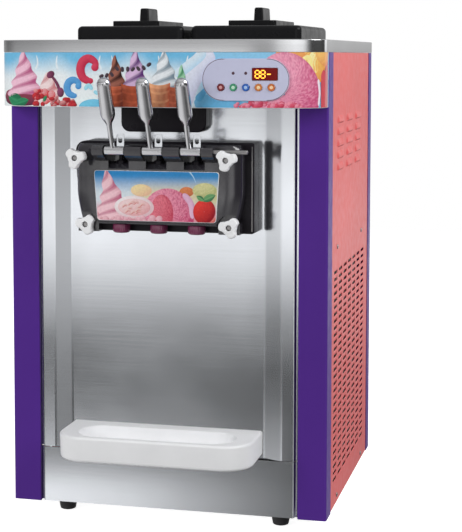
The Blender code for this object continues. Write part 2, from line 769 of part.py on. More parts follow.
def freezer_door():
    """The head block: three valve bores, lever slots, pivot ears, knob bosses and pockets."""
    look = black_plastic()
    back = y_at(-HEAD_BACK)
    plan = [
        (-0.140, back), (-0.140, y_at(-0.0370)), (-0.1065, y_at(-HEAD_FRONT)),
        (0.1065, y_at(-HEAD_FRONT)), (0.140, y_at(-0.0370)), (0.140, back),
    ]
    door = loft("freezer_door", [on_z(plan, z_at(0.4855)), on_z(plan, z_at(0.6145))], look)

    added = []
    ear = [
        (0.052, 0.5865), (0.052, 0.6120), (0.075, 0.6140), (0.0850, 0.6125),
        (0.0888, PIVOT_HEIGHT), (0.0850, 0.5990), (0.070, 0.5900),
    ]
    ear_outline = [(y_at(-ahead), z_at(height)) for ahead, height in ear]
    for near, far in ((-0.1000, -0.0811), (-0.0453, -0.0179), (0.0179, 0.0453), (0.0811, 0.1000)):
        added.append([on_x(ear_outline, near), on_x(ear_outline, far)])
    for side in SIDES.values():
        boss = [(0.0078, y_at(-0.040)), (0.0078, y_at(-TOP_KNOB[1] + GAP))]
        added.append(turned(boss, "Y", 16, (side * TOP_KNOB[0], z_at(TOP_KNOB[2]))))
        near, far = sorted((side * 0.1005, side * 0.1395))
        lug = box_rings((near, y_at(-0.0470), z_at(0.4710)), (far, back - 0.0004, z_at(0.4900)))
        added.append(lug)
    outlet = [(0.0112, z_at(0.4745)), (0.0112, z_at(0.4900))]
    for across in VALVES.values():
        added.append(turned(outlet, "Z", 20, (across, y_at(-VALVE_AXIS))))
    unite(door, lofts("door_additions", added, look))

    slot = [
        (0.120, 0.5640), (0.0590, 0.5740), (0.0500, 0.5830),
        (0.0345, 0.5860), (0.0345, 0.640), (0.120, 0.640),
    ]
    slot_outline = [(y_at(-ahead), z_at(height)) for ahead, height in slot]
    slots = []
    for across in VALVES.values():
        near = across - 0.0172
        far = across + 0.0172
        slots.append([on_x(slot_outline, near), on_x(slot_outline, far)])
    cut(door, lofts("lever_slots", slots, look))
    bore = [(0.0085, z_at(0.460)), (0.0085, z_at(0.630))]
    bores = []
    for across in VALVES.values():
        bores.append(turned(bore, "Z", 20, (across, y_at(-VALVE_AXIS))))
    cut(door, lofts("valve_bores", bores, look))
    pockets = []
    holes = []
    for side in SIDES.values():
        low_axis = (side * LOW_KNOB[0], z_at(LOW_KNOB[2]))
        top_axis = (side * TOP_KNOB[0], z_at(TOP_KNOB[2]))
        pockets.append(turned([(0.0205, y_at(-0.0475)), (0.0205, y_at(-0.090))], "Y", 24, low_axis))
        for axis in (low_axis, top_axis):
            holes.append(turned([(0.0046, y_at(-0.010)), (0.0046, y_at(-0.110))], "Y", 12, axis))
    cut(door, lofts("knob_pockets", pockets, look))
    cut(door, lofts("stud_holes", holes, look))
    pin_axis = (y_at(-PIVOT_AXIS), z_at(PIVOT_HEIGHT))
    pin_hole = turned([(0.0040, -0.120), (0.0040, 0.120)], "X", 16, pin_axis)
    cut(door, lofts("pin_hole", [pin_hole], look))


def decal_plate():
    """The printed plate on the front of the head, a little narrower at its foot."""
    low = 0.491
    high = 0.5725
    outline = []
    for x, z in rounded_rect((-0.105, low), (0.105, high), 0.005):
        taper = (high - z) / (high - low)
        outline.append((x * (1 - 0.052 * taper), z_at(z)))
    look = material("printed_plate", (0.80, 0.55, 0.60), 0.25)
    front = y_at(-HEAD_FRONT)
    loft("decal_plate", [on_y(outline, front - GAP), on_y(outline, front - 0.0015)], look)


def valve_piston(name, across):
    """A draw valve with a neck and a collar that the lever's fork lifts."""
    profile = [
        (0.0065, 0.0), (0.0080, 0.0015), (0.0080, 0.1040),
        (0.0036, 0.1045), (0.0036, 0.1225), (0.0078, 0.1225), (0.0078, 0.1265),
    ]
    place = (across, y_at(-VALVE_AXIS), z_at(0.4840))
    loft(name, turned(profile, "Z", 20), white_plastic(), place)


def lever(name, across):
    """A draw lever: hub on the pivot pin, leaning handle, switch plate and lifting fork."""
    look = chrome()
    place = (across, y_at(-PIVOT_AXIS), z_at(PIVOT_HEIGHT))
    hub = [(0.0062, -0.0165), (0.0070, -0.0157), (0.0070, 0.0157), (0.0062, 0.0165)]
    made = loft(name, turned(hub, "X", 16), look, place)
    lean = Matrix.Rotation(LEVER_LEAN, 3, "X")
    handle = []
    profile = [
        (0.0042, 0.004), (0.0042, 0.046), (0.0105, 0.059), (0.0112, 0.066),
        (0.0098, 0.118), (0.0082, 0.1235), (0.0045, 0.1265),
    ]
    for radius, distance in profile:
        ring = []
        for x, y in circle(radius, 14):
            ring.append(lean @ Vector((x, y, distance)) + Vector((-0.003, 0.0, 0.0)))
        handle.append(ring)
    trip = [
        (0.0034, 0.004), (0.0157, 0.004), (0.0157, 0.024),
        (0.0140, 0.027), (0.0051, 0.027), (0.0034, 0.024),
    ]
    plate = [on_y(trip, 0.0010), on_y(trip, 0.0026)]
    prongs = []
    for side in (-0.0063, 0.0063):
        prongs.append(box_rings((side - 0.0020, 0.003, -0.0050), (side + 0.0020, 0.0400, -0.0010)))
    unite(made, lofts("arms_" + name, [handle], look, place))
    unite(made, lofts("trip_" + name, [plate], look, place))
    unite(made, lofts("prongs_" + name, prongs, look, place))
    eye = rounded_rect((0.0060, 0.0115), (0.0128, 0.0215), 0.0033, 0, 3)
    cut(made, lofts("eye_" + name, [[on_y(eye, -0.004), on_y(eye, 0.008)]], look, place))
    bore = turned([(0.0039, -0.030), (0.0039, 0.030)], "X", 12)
    cut(made, lofts("bore_" + name, [bore], look, place))


def pivot_pin():
    axis = (y_at(-PIVOT_AXIS), z_at(PIVOT_HEIGHT))
    profile = [(0.0028, -0.1005), (0.0035, -0.0995), (0.0035, 0.1545), (0.0028, 0.1555)]
    loft("pivot_pin", turned(profile, "X", 16, axis), chrome())


def nozzle_cap(name, across):
    """The shaped outlet cap under a valve bore, with a six-pointed opening."""
    star = []
    for i in range(24):
        angle = 2 * math.pi * i / 24
        radius = 0.0058 + 0.0018 * math.cos(6 * angle)
        star.append((radius * math.cos(angle), radius * math.sin(angle)))
    rings = [
        on_z(circle(0.0128), 0.0),
        on_z(circle(0.0145), 0.0020),
        on_z(circle(0.0145), 0.0145),
        on_z(circle(0.0116), 0.0145),
        on_z(circle(0.0116), 0.0040),
        on_z(star, 0.0040),
        on_z(star, 0.0),
    ]
    maroon = material("maroon_plastic", (0.24, 0.03, 0.10), 0.3)
    loft(name, rings, maroon, (across, y_at(-VALVE_AXIS), z_at(0.4702)), closed=True)


def star_knob(name, side, spot, phase):
    """A three-lobed hand nut on its stud."""
    count = 27

    def lobes(size):
        points = []
        for i in range(count):
            angle = 2 * math.pi * i / count
            swell = math.tanh(2.0 * math.cos(3 * (angle - phase))) / math.tanh(2.0)
            radius = size * (0.0146 + 0.0030 * swell) / 0.0176
            points.append((radius * math.cos(angle), radius * math.sin(angle)))
        return points

    hole = circle(0.0047, count)
    rings = [
        on_y(lobes(0.0160), 0.0),
        on_y(lobes(0.0176), -0.0015),
        on_y(lobes(0.0176), -0.0110),
        on_y(lobes(0.0150), -0.0130),
        on_y(circle(0.0070, count), -0.0138),
        on_y(hole, -0.0138),
        on_y(hole, 0.0),
    ]
    across, front, height = spot
    loft(name, rings, white_plastic(), (side * across, y_at(-front), z_at(height)), closed=True)


def star_knobs():
    for name, side in SIDES.items():
        star_knob("knob_top_" + name, side, TOP_KNOB, math.radians(16))
        star_knob("knob_low_" + name, side, LOW_KNOB, math.radians(50))


def drip_tray():
    """The white tray on the front panel, with round front corners and an oval basin."""
    half = 0.1625
    reach = 0.110
    depth = 0.0065
    turn = 0.048

    def plan(inset, lean=0.0):
        points = [(half - inset, depth - inset * 0.2), (-half + inset, depth - inset * 0.2)]
        for start, sign in ((180, -1), (270, 1)):
            for step in range(7):
                angle = math.radians(start + 90 * step / 6)
                x = sign * (half - turn) + (turn - inset) * math.cos(angle)
                y = -(reach - lean - turn) + (turn - inset) * math.sin(angle)
                points.append((x, y))
        return points

    def basin(inset):
        return rounded_rect((-0.130, -0.096), (0.130, -0.022), 0.036, inset, 6)

    high = 0.0419
    rings = [
        on_z(plan(0.004, 0.004), 0.0),
        on_z(plan(0.0, 0.002), 0.004),
        on_z(plan(0.0), high - 0.0015),
        on_z(plan(0.0015), high),
    ]
    place = (0.0, y_at(0.0), z_at(0.1005))
    tray = loft("drip_tray", rings, white_plastic(), place)
    hollow = [
        on_z(basin(0.012), high - 0.022),
        on_z(basin(0.004), high - 0.016),
        on_z(basin(0.0), high + 0.003),
    ]
    cut(tray, lofts("basin", [hollow], white_plastic(), place))


def build():
    clear_scene()
    chassis_base()
    corner_columns()
    front_panels()
    back_panel()
    machine_shelf()
    top_cover()
    fascia()
    control_panel()
    switch_cover()
    for name, side in SIDES.items():
        side_panel("side_panel_" + name, side)
        hopper("hopper_" + name, side)
        lid("lid_" + name, side)
        air_tube("air_tube_" + name, side)
        freezing_cylinder("cylinder_" + name, side)
        beater("beater_" + name, side)
        gear_motor("gear_motor_" + name, side)
    compressor()
    condenser()
    fan()
    cable_gland()
    head_backing()
    freezer_door()
    decal_plate()
    pivot_pin()
    for name, across in VALVES.items():
        valve_piston("valve_" + name, across)
        lever("lever_" + name, across)
        nozzle_cap("nozzle_cap_" + name, across)
    star_knobs()
    drip_tray()
    feet()


build()
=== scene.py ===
"""Looks of the counter-top soft serve machine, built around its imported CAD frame."""

import json
import math
import random

import bmesh
import bpy
from mathutils import Matrix, Vector

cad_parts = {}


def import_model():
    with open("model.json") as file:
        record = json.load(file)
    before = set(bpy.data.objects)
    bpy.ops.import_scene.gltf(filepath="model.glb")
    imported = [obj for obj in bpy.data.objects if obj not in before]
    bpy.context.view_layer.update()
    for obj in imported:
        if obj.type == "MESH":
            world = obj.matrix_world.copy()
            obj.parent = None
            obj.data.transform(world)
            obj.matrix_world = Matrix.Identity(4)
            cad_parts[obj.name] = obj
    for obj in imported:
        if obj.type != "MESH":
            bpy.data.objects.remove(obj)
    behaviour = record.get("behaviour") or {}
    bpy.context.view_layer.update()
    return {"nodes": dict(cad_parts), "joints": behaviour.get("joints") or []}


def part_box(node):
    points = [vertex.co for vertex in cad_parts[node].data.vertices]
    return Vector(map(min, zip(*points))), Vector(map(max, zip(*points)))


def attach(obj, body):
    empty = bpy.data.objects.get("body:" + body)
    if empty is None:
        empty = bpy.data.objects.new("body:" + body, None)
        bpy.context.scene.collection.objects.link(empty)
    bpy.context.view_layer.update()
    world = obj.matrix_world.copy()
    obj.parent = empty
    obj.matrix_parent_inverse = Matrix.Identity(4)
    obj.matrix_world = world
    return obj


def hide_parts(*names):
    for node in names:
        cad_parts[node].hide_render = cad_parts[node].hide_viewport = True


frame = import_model()


# ---------------------------------------------------------------- places read from the frame


def low(node):
    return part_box(node)[0]


def high(node):
    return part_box(node)[1]


FRONT = low("column_front_left").y        # front face of the corner columns
REAR = high("column_rear_left").y
FOOT = low("column_front_left").z         # lower ends of the columns
HALF = high("column_front_right").x       # half the cabinet's width
DECK = high("top_cover").z
SKIRT = low("top_cover").z
FASCIA_LOW = low("fascia").z
FASCIA_HIGH = high("fascia").z
COLUMN = HALF - low("column_front_right").x
PITCH = (low("lever_right").x + high("lever_right").x - low("lever_left").x - high("lever_left").x) / 4
SHEET = 0.0015
BOW_START = 0.020
BOW_DEPTH = FRONT - BOW_START - low("top_cover").y
BOW_POWER = 2.6
SIDES = {"left": -1.0, "right": 1.0}
VALVES = {"left": -PITCH, "centre": 0.0, "right": PITCH}
PIVOTS = {joint["name"]: Vector(joint["pos_m"]) for joint in frame["joints"] if "pos_m" in joint}
HINGE = PIVOTS["lever_centre_pull"]


def y_at(depth):
    """Y of a point that lies depth behind the columns' front face."""
    return FRONT + depth


def z_at(height):
    """Z of a point that lies height above the columns' lower ends."""
    return FOOT + height


# ---------------------------------------------------------------- mesh helpers

MADE = []


def placed(name, data):
    """A new object in the scene."""
    made = bpy.data.objects.new(name, data)
    bpy.context.scene.collection.objects.link(made)
    return made


def mesh_from(name, shape):
    """Turn a bmesh into mesh data."""
    mesh = bpy.data.meshes.new(name)
    shape.to_mesh(mesh)
    shape.free()
    return mesh


def bevelled(made, width, segments, angle):
    step = made.modifiers.new("edges", "BEVEL")
    step.width = width
    step.segments = segments
    step.limit_method = "ANGLE"
    step.angle_limit = math.radians(angle)
    return step


def thickened(made, thickness):
    step = made.modifiers.new("thickness", "SOLIDIFY")
    step.thickness = thickness
    step.offset = -1.0


def piece(name, shape, look, body="root", replaces=(), sharp=32):
    """Turn a bmesh into a named piece that rides on a CAD body."""
    if isinstance(look, (list, tuple)):
        looks = list(look)
    else:
        looks = [look]
    bmesh.ops.remove_doubles(shape, verts=shape.verts, dist=1e-6)
    mesh = mesh_from(name, shape)
    for item in looks:
        mesh.materials.append(item)
    mesh.shade_smooth()
    mesh.set_sharp_from_angle(angle=math.radians(sharp))
    made = placed(name, mesh)
    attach(made, body)
    if replaces:
        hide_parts(*replaces)
    if sharp < 180:
        MADE.append(made)
    return made


def skin(shape, rings, caps=True, closed=False, mark=0):
    """Skin rings that all have the same number of points."""
    rows = [[shape.verts.new(point) for point in ring] for ring in rings]
    pairs = list(zip(rows, rows[1:]))
    if closed:
        pairs.append((rows[-1], rows[0]))
    faces = []
    for lower, upper in pairs:
        count = len(lower)
        for i in range(count):
            j = (i + 1) % count
            faces.append(shape.faces.new((lower[i], lower[j], upper[j], upper[i])))
    if caps and not closed:
        faces.append(shape.faces.new(list(reversed(rows[0]))))
        faces.append(shape.faces.new(rows[-1]))
    for face in faces:
        face.material_index = mark
    bmesh.ops.recalc_face_normals(shape, faces=faces)
    return faces


def solid(*ring_sets):
    """A bmesh that holds one closed skin for each list of rings."""
    shape = bmesh.new()
    for rings in ring_sets:
        skin(shape, rings)
    return shape


def on_z(outline, height):
    return [(x, y, height) for x, y in outline]


def on_y(outline, depth):
    return [(x, depth, z) for x, z in outline]


def on_x(outline, across):
    return [(across, y, z) for y, z in outline]


def arc(centre, radius, start, sweep, steps):
    """Points along an arc; its angles are in degrees."""
    points = []
    for step in range(steps + 1):
        angle = math.radians(start + sweep * step / steps)
        points.append((centre[0] + radius * math.cos(angle), centre[1] + radius * math.sin(angle)))
    return points


def quarter(steps):
    return [math.pi / 2 * step / steps for step in range(steps + 1)]


def rolled(top, turn, steps):
    """(inset, position) pairs of an edge that rolls inwards on its way up to the top."""
    return [(turn * (1 - math.cos(angle)), top - turn * (1 - math.sin(angle))) for angle in quarter(steps)]


def centre_of(near, far, axes="xy"):
    """Middle of a box along two of its axes."""
    return tuple((getattr(near, axis) + getattr(far, axis)) / 2 for axis in axes)


def rounded_rect(near, far, radius, inset=0.0, steps=8):
    """Outline of a rectangle with round corners, counter-clockwise."""
    turn = max(radius - inset, 0.0003)
    centres = (
        (far[0] - inset - turn, far[1] - inset - turn, 0),
        (near[0] + inset + turn, far[1] - inset - turn, 90),
        (near[0] + inset + turn, near[1] + inset + turn, 180),
        (far[0] - inset - turn, near[1] + inset + turn, 270),
    )
    points = []
    for x, y, start in centres:
        points += arc((x, y), turn, start, 90.0, steps)
    return points


def waved(reach, count, centre):
    """A closed outline; its radius is a function of the angle."""
    points = []
    for i in range(count):
        angle = 2 * math.pi * i / count
        radius = reach(angle)
        points.append((centre[0] + radius * math.cos(angle), centre[1] + radius * math.sin(angle)))
    return points


def circle(radius, count=32, centre=(0.0, 0.0)):
    return waved(lambda angle: radius, count, centre)


def turned(profile, axis="Z", centre=(0.0, 0.0), count=32):
    """Rings of a turned form from (radius, position) pairs along an axis."""
    place = {"X": on_x, "Y": on_y, "Z": on_z}[axis]
    return [place(circle(radius, count, centre), position) for radius, position in profile]


def pillow(near, far, radius, bottom, top, round_top, round_bottom=0.0, steps=5, corner=8):
    """Rings of a block with round corners and rolled upper and lower edges."""
    rings = [] if round_bottom else [(0.0, bottom)]
    if round_bottom:
        for angle in quarter(steps):
            inset = round_bottom * (1 - math.sin(angle))
            rings.append((inset, bottom + round_bottom * (1 - math.cos(angle))))
    rings += rolled(top, round_top, steps)
    return [on_z(rounded_rect(near, far, radius, inset, corner), z) for inset, z in rings]


def carve(target, shape, kind="DIFFERENCE"):
    """Cut a bmesh out of a piece, or join it on, and keep the result as plain mesh."""
    mesh = mesh_from("cutter", shape)
    cutter = placed("cutter", mesh)
    step = target.modifiers.new("carve", "BOOLEAN")
    step.operation = kind
    step.object = cutter
    while target.modifiers[0] != step:
        target.modifiers.move(len(target.modifiers) - 1, 0)
    bpy.context.view_layer.update()
    others = [m for m in target.modifiers if m != step]
    for other in others:
        other.show_viewport = False
    result = bpy.data.meshes.new_from_object(target.evaluated_get(bpy.context.evaluated_depsgraph_get()))
    for other in others:
        other.show_viewport = True
    target.modifiers.remove(step)
    old = target.data
    result.name = old.name
    target.data = result
    bpy.data.meshes.remove(old)
    bpy.data.objects.remove(cutter)
    bpy.data.meshes.remove(mesh)


def bow(x, inset=0.0):
    """How far the bowed front stands in front of the columns at x."""
    half = HALF - inset
    share = min(abs(x) / half, 1.0)
    return BOW_START + (BOW_DEPTH - inset) * (1 - share ** BOW_POWER) ** (1 / BOW_POWER)


def bow_normal(x):
    step = 0.0005
    slope = (bow(x + step) - bow(x - step)) / (2 * step)
    return Vector((-slope, -1.0, 0.0)).normalized()


def bow_point(x, z, lift=0.0):
    """A point on the bowed header, lifted off its surface."""
    return Vector((x, y_at(-bow(x, 0.0006)), z)) + bow_normal(x) * lift


WRAP_START = 0.2615
WRAP_LENGTH = 0.0260


def wrap_point(x, z, lift):
    """Like bow_point, but an x beyond the start of the corner runs on round it and along the side."""
    if abs(x) <= WRAP_START:
        return bow_point(x, z, lift)
    half = HALF - 0.0006
    depth = BOW_DEPTH - 0.0006
    start = math.acos((WRAP_START / half) ** (BOW_POWER / 2))
    angle = start * (1 - (abs(x) - WRAP_START) / WRAP_LENGTH)
    beyond = max(-angle, 0.0) * WRAP_LENGTH / start
    angle = max(angle, 0.0)
    across = half * math.cos(angle) ** (2 / BOW_POWER)
    ahead = BOW_START + depth * math.sin(angle) ** (2 / BOW_POWER) - beyond
    normal = Vector((math.cos(angle) ** (2 - 2 / BOW_POWER) / half,
                     -math.sin(angle) ** (2 - 2 / BOW_POWER) / depth, 0.0))
    point = Vector((across, y_at(-ahead), z)) + normal.normalized() * lift
    return Vector((math.copysign(1.0, x) * point.x, point.y, point.z))


def bowed_outline(inset, back, steps=96):
    """Plan of the header: bowed in front, straight at the sides and the back."""
    half = HALF - inset
    depth = BOW_DEPTH - inset
    points = [(half, back - inset), (-half, back - inset)]
    for i in range(steps + 1):
        angle = math.pi * i / steps
        across = -math.copysign(abs(math.cos(angle)) ** (2 / BOW_POWER), math.cos(angle))
        ahead = abs(math.sin(angle)) ** (2 / BOW_POWER)
        points.append((half * across, y_at(-BOW_START - depth * ahead)))
    return points


def fill_between(shape, height, outer, holes):
    """A flat face at one height inside the outer outline, with holes in it."""
    edges = []
    for outline in [outer] + holes:
        loop = [shape.verts.new(point) for point in on_z(outline, height)]
        for i, vert in enumerate(loop):
            edges.append(shape.edges.new((vert, loop[(i + 1) % len(loop)])))
    bmesh.ops.triangle_fill(shape, edges=edges, use_beauty=True, use_dissolve=False)


# ---------------------------------------------------------------- materials


class Look:
    """A Principled material with procedural variation from object coordinates."""

    def __init__(self, name, colour, roughness, metallic=0.0, sockets=None):
        self.material = bpy.data.materials.new(name)
        self.material.use_nodes = True
        self.tree = self.material.node_tree
        self.shader = self.tree.nodes["Principled BSDF"]
        self.colour = colour
        self.shader.inputs["Base Color"].default_value = (*colour, 1.0)
        self.shader.inputs["Roughness"].default_value = roughness
        self.shader.inputs["Metallic"].default_value = metallic
        for socket, value in (sockets or {}).items():
            self.shader.inputs[socket].default_value = value
        self.place = self.tree.nodes.new("ShaderNodeTexCoord").outputs["Object"]

    def add(self, kind, **settings):
        made = self.tree.nodes.new(kind)
        for key, value in settings.items():
            setattr(made, key, value)
        return made

    def join(self, source, target):
        self.tree.links.new(source, target)

    def stretched(self, stretch):
        mapping = self.add("ShaderNodeMapping")
        mapping.inputs["Scale"].default_value = stretch
        self.join(self.place, mapping.inputs["Vector"])
        return mapping.outputs["Vector"]

    def noise(self, scale, detail=3.0, stretch=(1.0, 1.0, 1.0), rough=0.55):
        made = self.add("ShaderNodeTexNoise")
        made.inputs["Scale"].default_value = scale
        made.inputs["Detail"].default_value = detail
        made.inputs["Roughness"].default_value = rough
        self.join(self.stretched(stretch), made.inputs["Vector"])
        return made.outputs["Fac"]

    def spread(self, value, start, end, source=(0.3, 0.7)):
        """Map a noise value to a range of numbers."""
        made = self.add("ShaderNodeMapRange")
        made.inputs["From Min"].default_value = source[0]
        made.inputs["From Max"].default_value = source[1]
        made.inputs["To Min"].default_value = start
        made.inputs["To Max"].default_value = end
        self.join(value, made.inputs["Value"])
        return made.outputs["Result"]

    def tint(self, value, dark, light, source=(0.3, 0.7)):
        """Colour the surface between two colours by a noise value."""
        made = self.add("ShaderNodeMix", data_type="RGBA")
        self.join(self.spread(value, 0.0, 1.0, source), made.inputs["Factor"])
        made.inputs["A"].default_value = (*dark, 1.0)
        made.inputs["B"].default_value = (*light, 1.0)
        result = made.outputs["Result"]
        self.join(result, self.shader.inputs["Base Color"])
        return result

    def shade(self, amount, value):
        """Vary the base colour a little around itself."""
        dark = tuple(c * (1 - amount) for c in self.colour)
        light = tuple(min(c * (1 + amount), 1.0) for c in self.colour)
        return self.tint(value, dark, light)

    def gloss(self, value, start, end, source=(0.3, 0.7)):
        self.join(self.spread(value, start, end, source), self.shader.inputs["Roughness"])

    def bump(self, value, strength, distance):
        made = self.add("ShaderNodeBump")
        made.inputs["Strength"].default_value = strength
        made.inputs["Distance"].default_value = distance
        self.join(value, made.inputs["Height"])
        self.join(made.outputs["Normal"], self.shader.inputs["Normal"])


def brushed(name, colour, roughness, stretch):
    """Sheet steel with fine brush lines, faint clouding and handling marks."""
    look = Look(name, colour, roughness, 1.0)
    lines = look.noise(1.0, 4.0, stretch, 0.6)
    clouds = look.noise(7.0, 4.0)
    look.shade(0.05, lines)
    mixed = look.add("ShaderNodeMath", operation="MULTIPLY_ADD")
    look.join(lines, mixed.inputs[0])
    mixed.inputs[1].default_value = 0.5
    look.join(clouds, mixed.inputs[2])
    look.gloss(mixed.outputs["Value"], roughness - 0.02, roughness + 0.02, (0.5, 1.0))
    look.bump(lines, 0.01, 0.0002)
    return look.material


def painted(name, colour, roughness, coat, shine):
    """Powder-coated sheet: slight orange peel under a thin gloss."""
    look = Look(name, colour, roughness, 0.0,
                {"Coat Weight": coat, "Coat Roughness": 0.18, "Specular IOR Level": shine})
    look.shade(0.05, look.noise(5.0, 4.0))
    look.gloss(look.noise(60.0), roughness - 0.05, roughness + 0.07)
    look.bump(look.noise(420.0, 2.0), 0.10, 0.0003)
    return look.material


def moulded(name, colour, roughness, grain=0.12, shade=0.06, sockets=None):
    """Injection-moulded plastic with a fine texture and uneven shine."""
    look = Look(name, colour, roughness, 0.0, sockets)
    look.shade(shade, look.noise(22.0, 4.0))
    look.gloss(look.noise(35.0, 3.0), roughness - 0.06, roughness + 0.08)
    look.bump(look.noise(900.0, 2.0), grain, 0.0002)
    return look.material


def polished(name, colour, roughness):
    """Turned and polished metal with faint smudges."""
    look = Look(name, colour, roughness, 1.0)
    smudge = look.noise(45.0, 4.0)
    look.shade(0.04, smudge)
    look.gloss(smudge, roughness - 0.03, roughness + 0.06)
    look.bump(look.noise(1.0, 3.0, (1500.0, 1500.0, 90.0)), 0.05, 0.0001)
    return look.material


def printed(name, roughness):
    """Laminated print: the ink colour is stored on the mesh, under a clear film."""
    look = Look(name, (0.8, 0.8, 0.8), roughness, 0.0,
                {"Coat Weight": 0.08, "Coat Roughness": 0.1, "Specular IOR Level": 0.2})
    ink = look.add("ShaderNodeAttribute", attribute_name="ink")
    speck = look.add("ShaderNodeMix", data_type="RGBA", blend_type="MULTIPLY")
    speck.inputs["Factor"].default_value = 1.0
    fleck = look.add("ShaderNodeCombineColor")
    value = look.spread(look.noise(260.0, 3.0), 0.93, 1.05)
    for channel in ("Red", "Green", "Blue"):
        look.join(value, fleck.inputs[channel])
    look.join(ink.outputs["Color"], speck.inputs["A"])
    look.join(fleck.outputs["Color"], speck.inputs["B"])
    look.join(speck.outputs["Result"], look.shader.inputs["Base Color"])
    look.gloss(look.noise(40.0), roughness - 0.04, roughness + 0.05)
    return look.material


def glowing(name, colour, strength):
    """A lit display segment, a little uneven along its length."""
    look = Look(name, colour, 0.4, 0.0, {"Emission Strength": strength})
    uneven = look.shade(0.12, look.noise(300.0))
    look.join(uneven, look.shader.inputs["Emission Color"])
    return look.material


LOW_SHINE = {"Specular IOR Level": 0.14}

STEEL = brushed("brushed_steel", (0.60, 0.618, 0.648), 0.155, (5.0, 5.0, 1400.0))
BAND_STEEL = brushed("deck_steel", (0.66, 0.665, 0.68), 0.15, (5.0, 5.0, 1400.0))
TUB_STEEL = brushed("tub_steel", (0.62, 0.62, 0.63), 0.24, (40.0, 40.0, 8.0))
ZINC = brushed("zinc_sheet", (0.50, 0.50, 0.51), 0.42, (30.0, 30.0, 30.0))
CHROME = polished("chrome", (0.62, 0.62, 0.64), 0.14)
SCREW_STEEL = polished("screw_steel", (0.36, 0.35, 0.35), 0.32)
PURPLE = painted("purple_paint_finish", (0.088, 0.026, 0.270), 0.40, 0.03, 0.12)
CORAL = painted("coral_paint_finish", (0.80, 0.115, 0.115), 0.38, 0.05, 0.20)
BLACK = moulded("black_plastic_finish", (0.012, 0.010, 0.014), 0.30, sockets=LOW_SHINE)
GLOSS_BLACK = moulded("door_plastic", (0.021, 0.019, 0.025), 0.20, 0.08, sockets={"Specular IOR Level": 0.9})
SATIN_BLACK = moulded("satin_black_plastic", (0.008, 0.008, 0.009), 0.30, 0.20, 0.06,
                      {"Specular IOR Level": 0.12})
WHITE = moulded("white_plastic_finish", (0.92, 0.925, 0.94), 0.36, 0.10, 0.02, LOW_SHINE)
MAROON = moulded("maroon_plastic_finish", (0.16, 0.02, 0.07), 0.22, 0.05, 0.10, {"Coat Weight": 0.4})
LILAC = moulded("lilac_plastic_finish", (0.565, 0.575, 0.745), 0.30, 0.05, 0.03, LOW_SHINE)
RUBBER = moulded("rubber_finish", (0.014, 0.013, 0.015), 0.66, 0.5)
DARK = moulded("dark_enamel", (0.03, 0.03, 0.034), 0.45)
OUTLINE = moulded("outline_ink", (0.10, 0.055, 0.075), 0.40, 0.05, 0.08, LOW_SHINE)
FINS = brushed("fin_aluminium", (0.55, 0.55, 0.56), 0.40, (3.0, 300.0, 300.0))
PRINT = printed("printed_film_finish", 0.34)
WINDOW = moulded("display_glass_finish", (0.19, 0.010, 0.010), 0.12, 0.0, 0.10, LOW_SHINE)
LIT = glowing("lit_segment", (1.0, 0.42, 0.04), 2.2)


# ---------------------------------------------------------------- cabinet


def column(name):
    """An angle-section post with a rolled corner and a lip along its inner edge."""
    near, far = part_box(name)
    side = 1.0 if far.x > 0 else -1.0
    front = near.y < y_at(0.1)
    depth = far.y - near.y
    wall = 0.0018
    lip = 0.006
    turn = 0.004
    steps = 8
    roll = 0.0014
    profile = arc((turn, turn), turn, 180, 90, steps)
    profile += arc((COLUMN - roll, roll), roll, 270, 90, 3)
    profile += [(COLUMN, lip), (COLUMN - wall, lip), (COLUMN - wall, wall)]
    profile += arc((turn, turn), turn - wall, 270, -90, steps)
    profile += [(wall, depth), (0.0, depth)]
    outline = []
    for across, inward in profile:
        outline.append((side * (HALF - across), near.y + inward if front else far.y - inward))
    shape = solid([on_z(outline, near.z), on_z(outline, far.z)])
    piece("post_" + name, shape, PURPLE, replaces=[name], sharp=50)


def slotted_cell(shape, near, far, centre, length, height, steps=6):
    """One cell of a grille: a rectangle with a round-ended slot in it, in the YZ plane."""
    corners = [shape.verts.new((0.0, y, z)) for y, z in (near, (far[0], near[1]), far, (near[0], far[1]))]
    turn = height / 2
    ends = {}
    for key, start, shift in (("right", -90, 1), ("left", 90, -1)):
        middle = (centre[0] + shift * (length / 2 - turn), centre[1])
        ends[key] = [shape.verts.new((0.0, y, z)) for y, z in arc(middle, turn, start, 180, steps)]
    right = ends["right"]
    left = ends["left"]
    shape.faces.new((corners[0], corners[1], right[0], left[-1]))
    shape.faces.new([corners[1], corners[2]] + list(reversed(right)))
    shape.faces.new((corners[2], corners[3], left[0], right[-1]))
    shape.faces.new([corners[3], corners[0]] + list(reversed(left)))


LOUVRE_CREST = 0.22                       # share of its height at which a louvre stands out furthest


def louvre(shape, near, far, centre, length, height, proud):
    """One pressed louvre: a hood that swells slowly and drops sharply at its lower lip."""
    across = 18
    up = 12
    rows = []
    for j in range(up + 1):
        v = j / up
        row = []
        for i in range(across + 1):
            u = i / across
            y = centre[0] + (u - 0.5) * length
            z = centre[1] + (v - 0.5) * height
            ends = max(1 - abs(2 * u - 1) ** 5, 0.0) ** 0.5
            fall = max(v - LOUVRE_CREST, 0.0) / (1 - LOUVRE_CREST) * math.pi / 2
            slope = min(v / LOUVRE_CREST, 1.0) ** 0.7 * math.cos(fall) ** 0.8
            row.append(shape.verts.new((proud * ends * slope, y, z)))
        rows.append(row)
    for lower, upper in zip(rows, rows[1:]):
        for i in range(across):
            shape.faces.new((lower[i], lower[i + 1], upper[i + 1], upper[i]))
    corners = [shape.verts.new((0.0, y, z)) for y, z in (near, (far[0], near[1]), far, (near[0], far[1]))]
    shape.faces.new((corners[0], corners[1], rows[0][-1], *reversed(rows[0][:-1])))
    shape.faces.new((corners[1], corners[2], *[row[-1] for row in reversed(rows)]))
    shape.faces.new((corners[2], corners[3], *rows[-1]))
    shape.faces.new((corners[3], corners[0], *[row[0] for row in rows]))


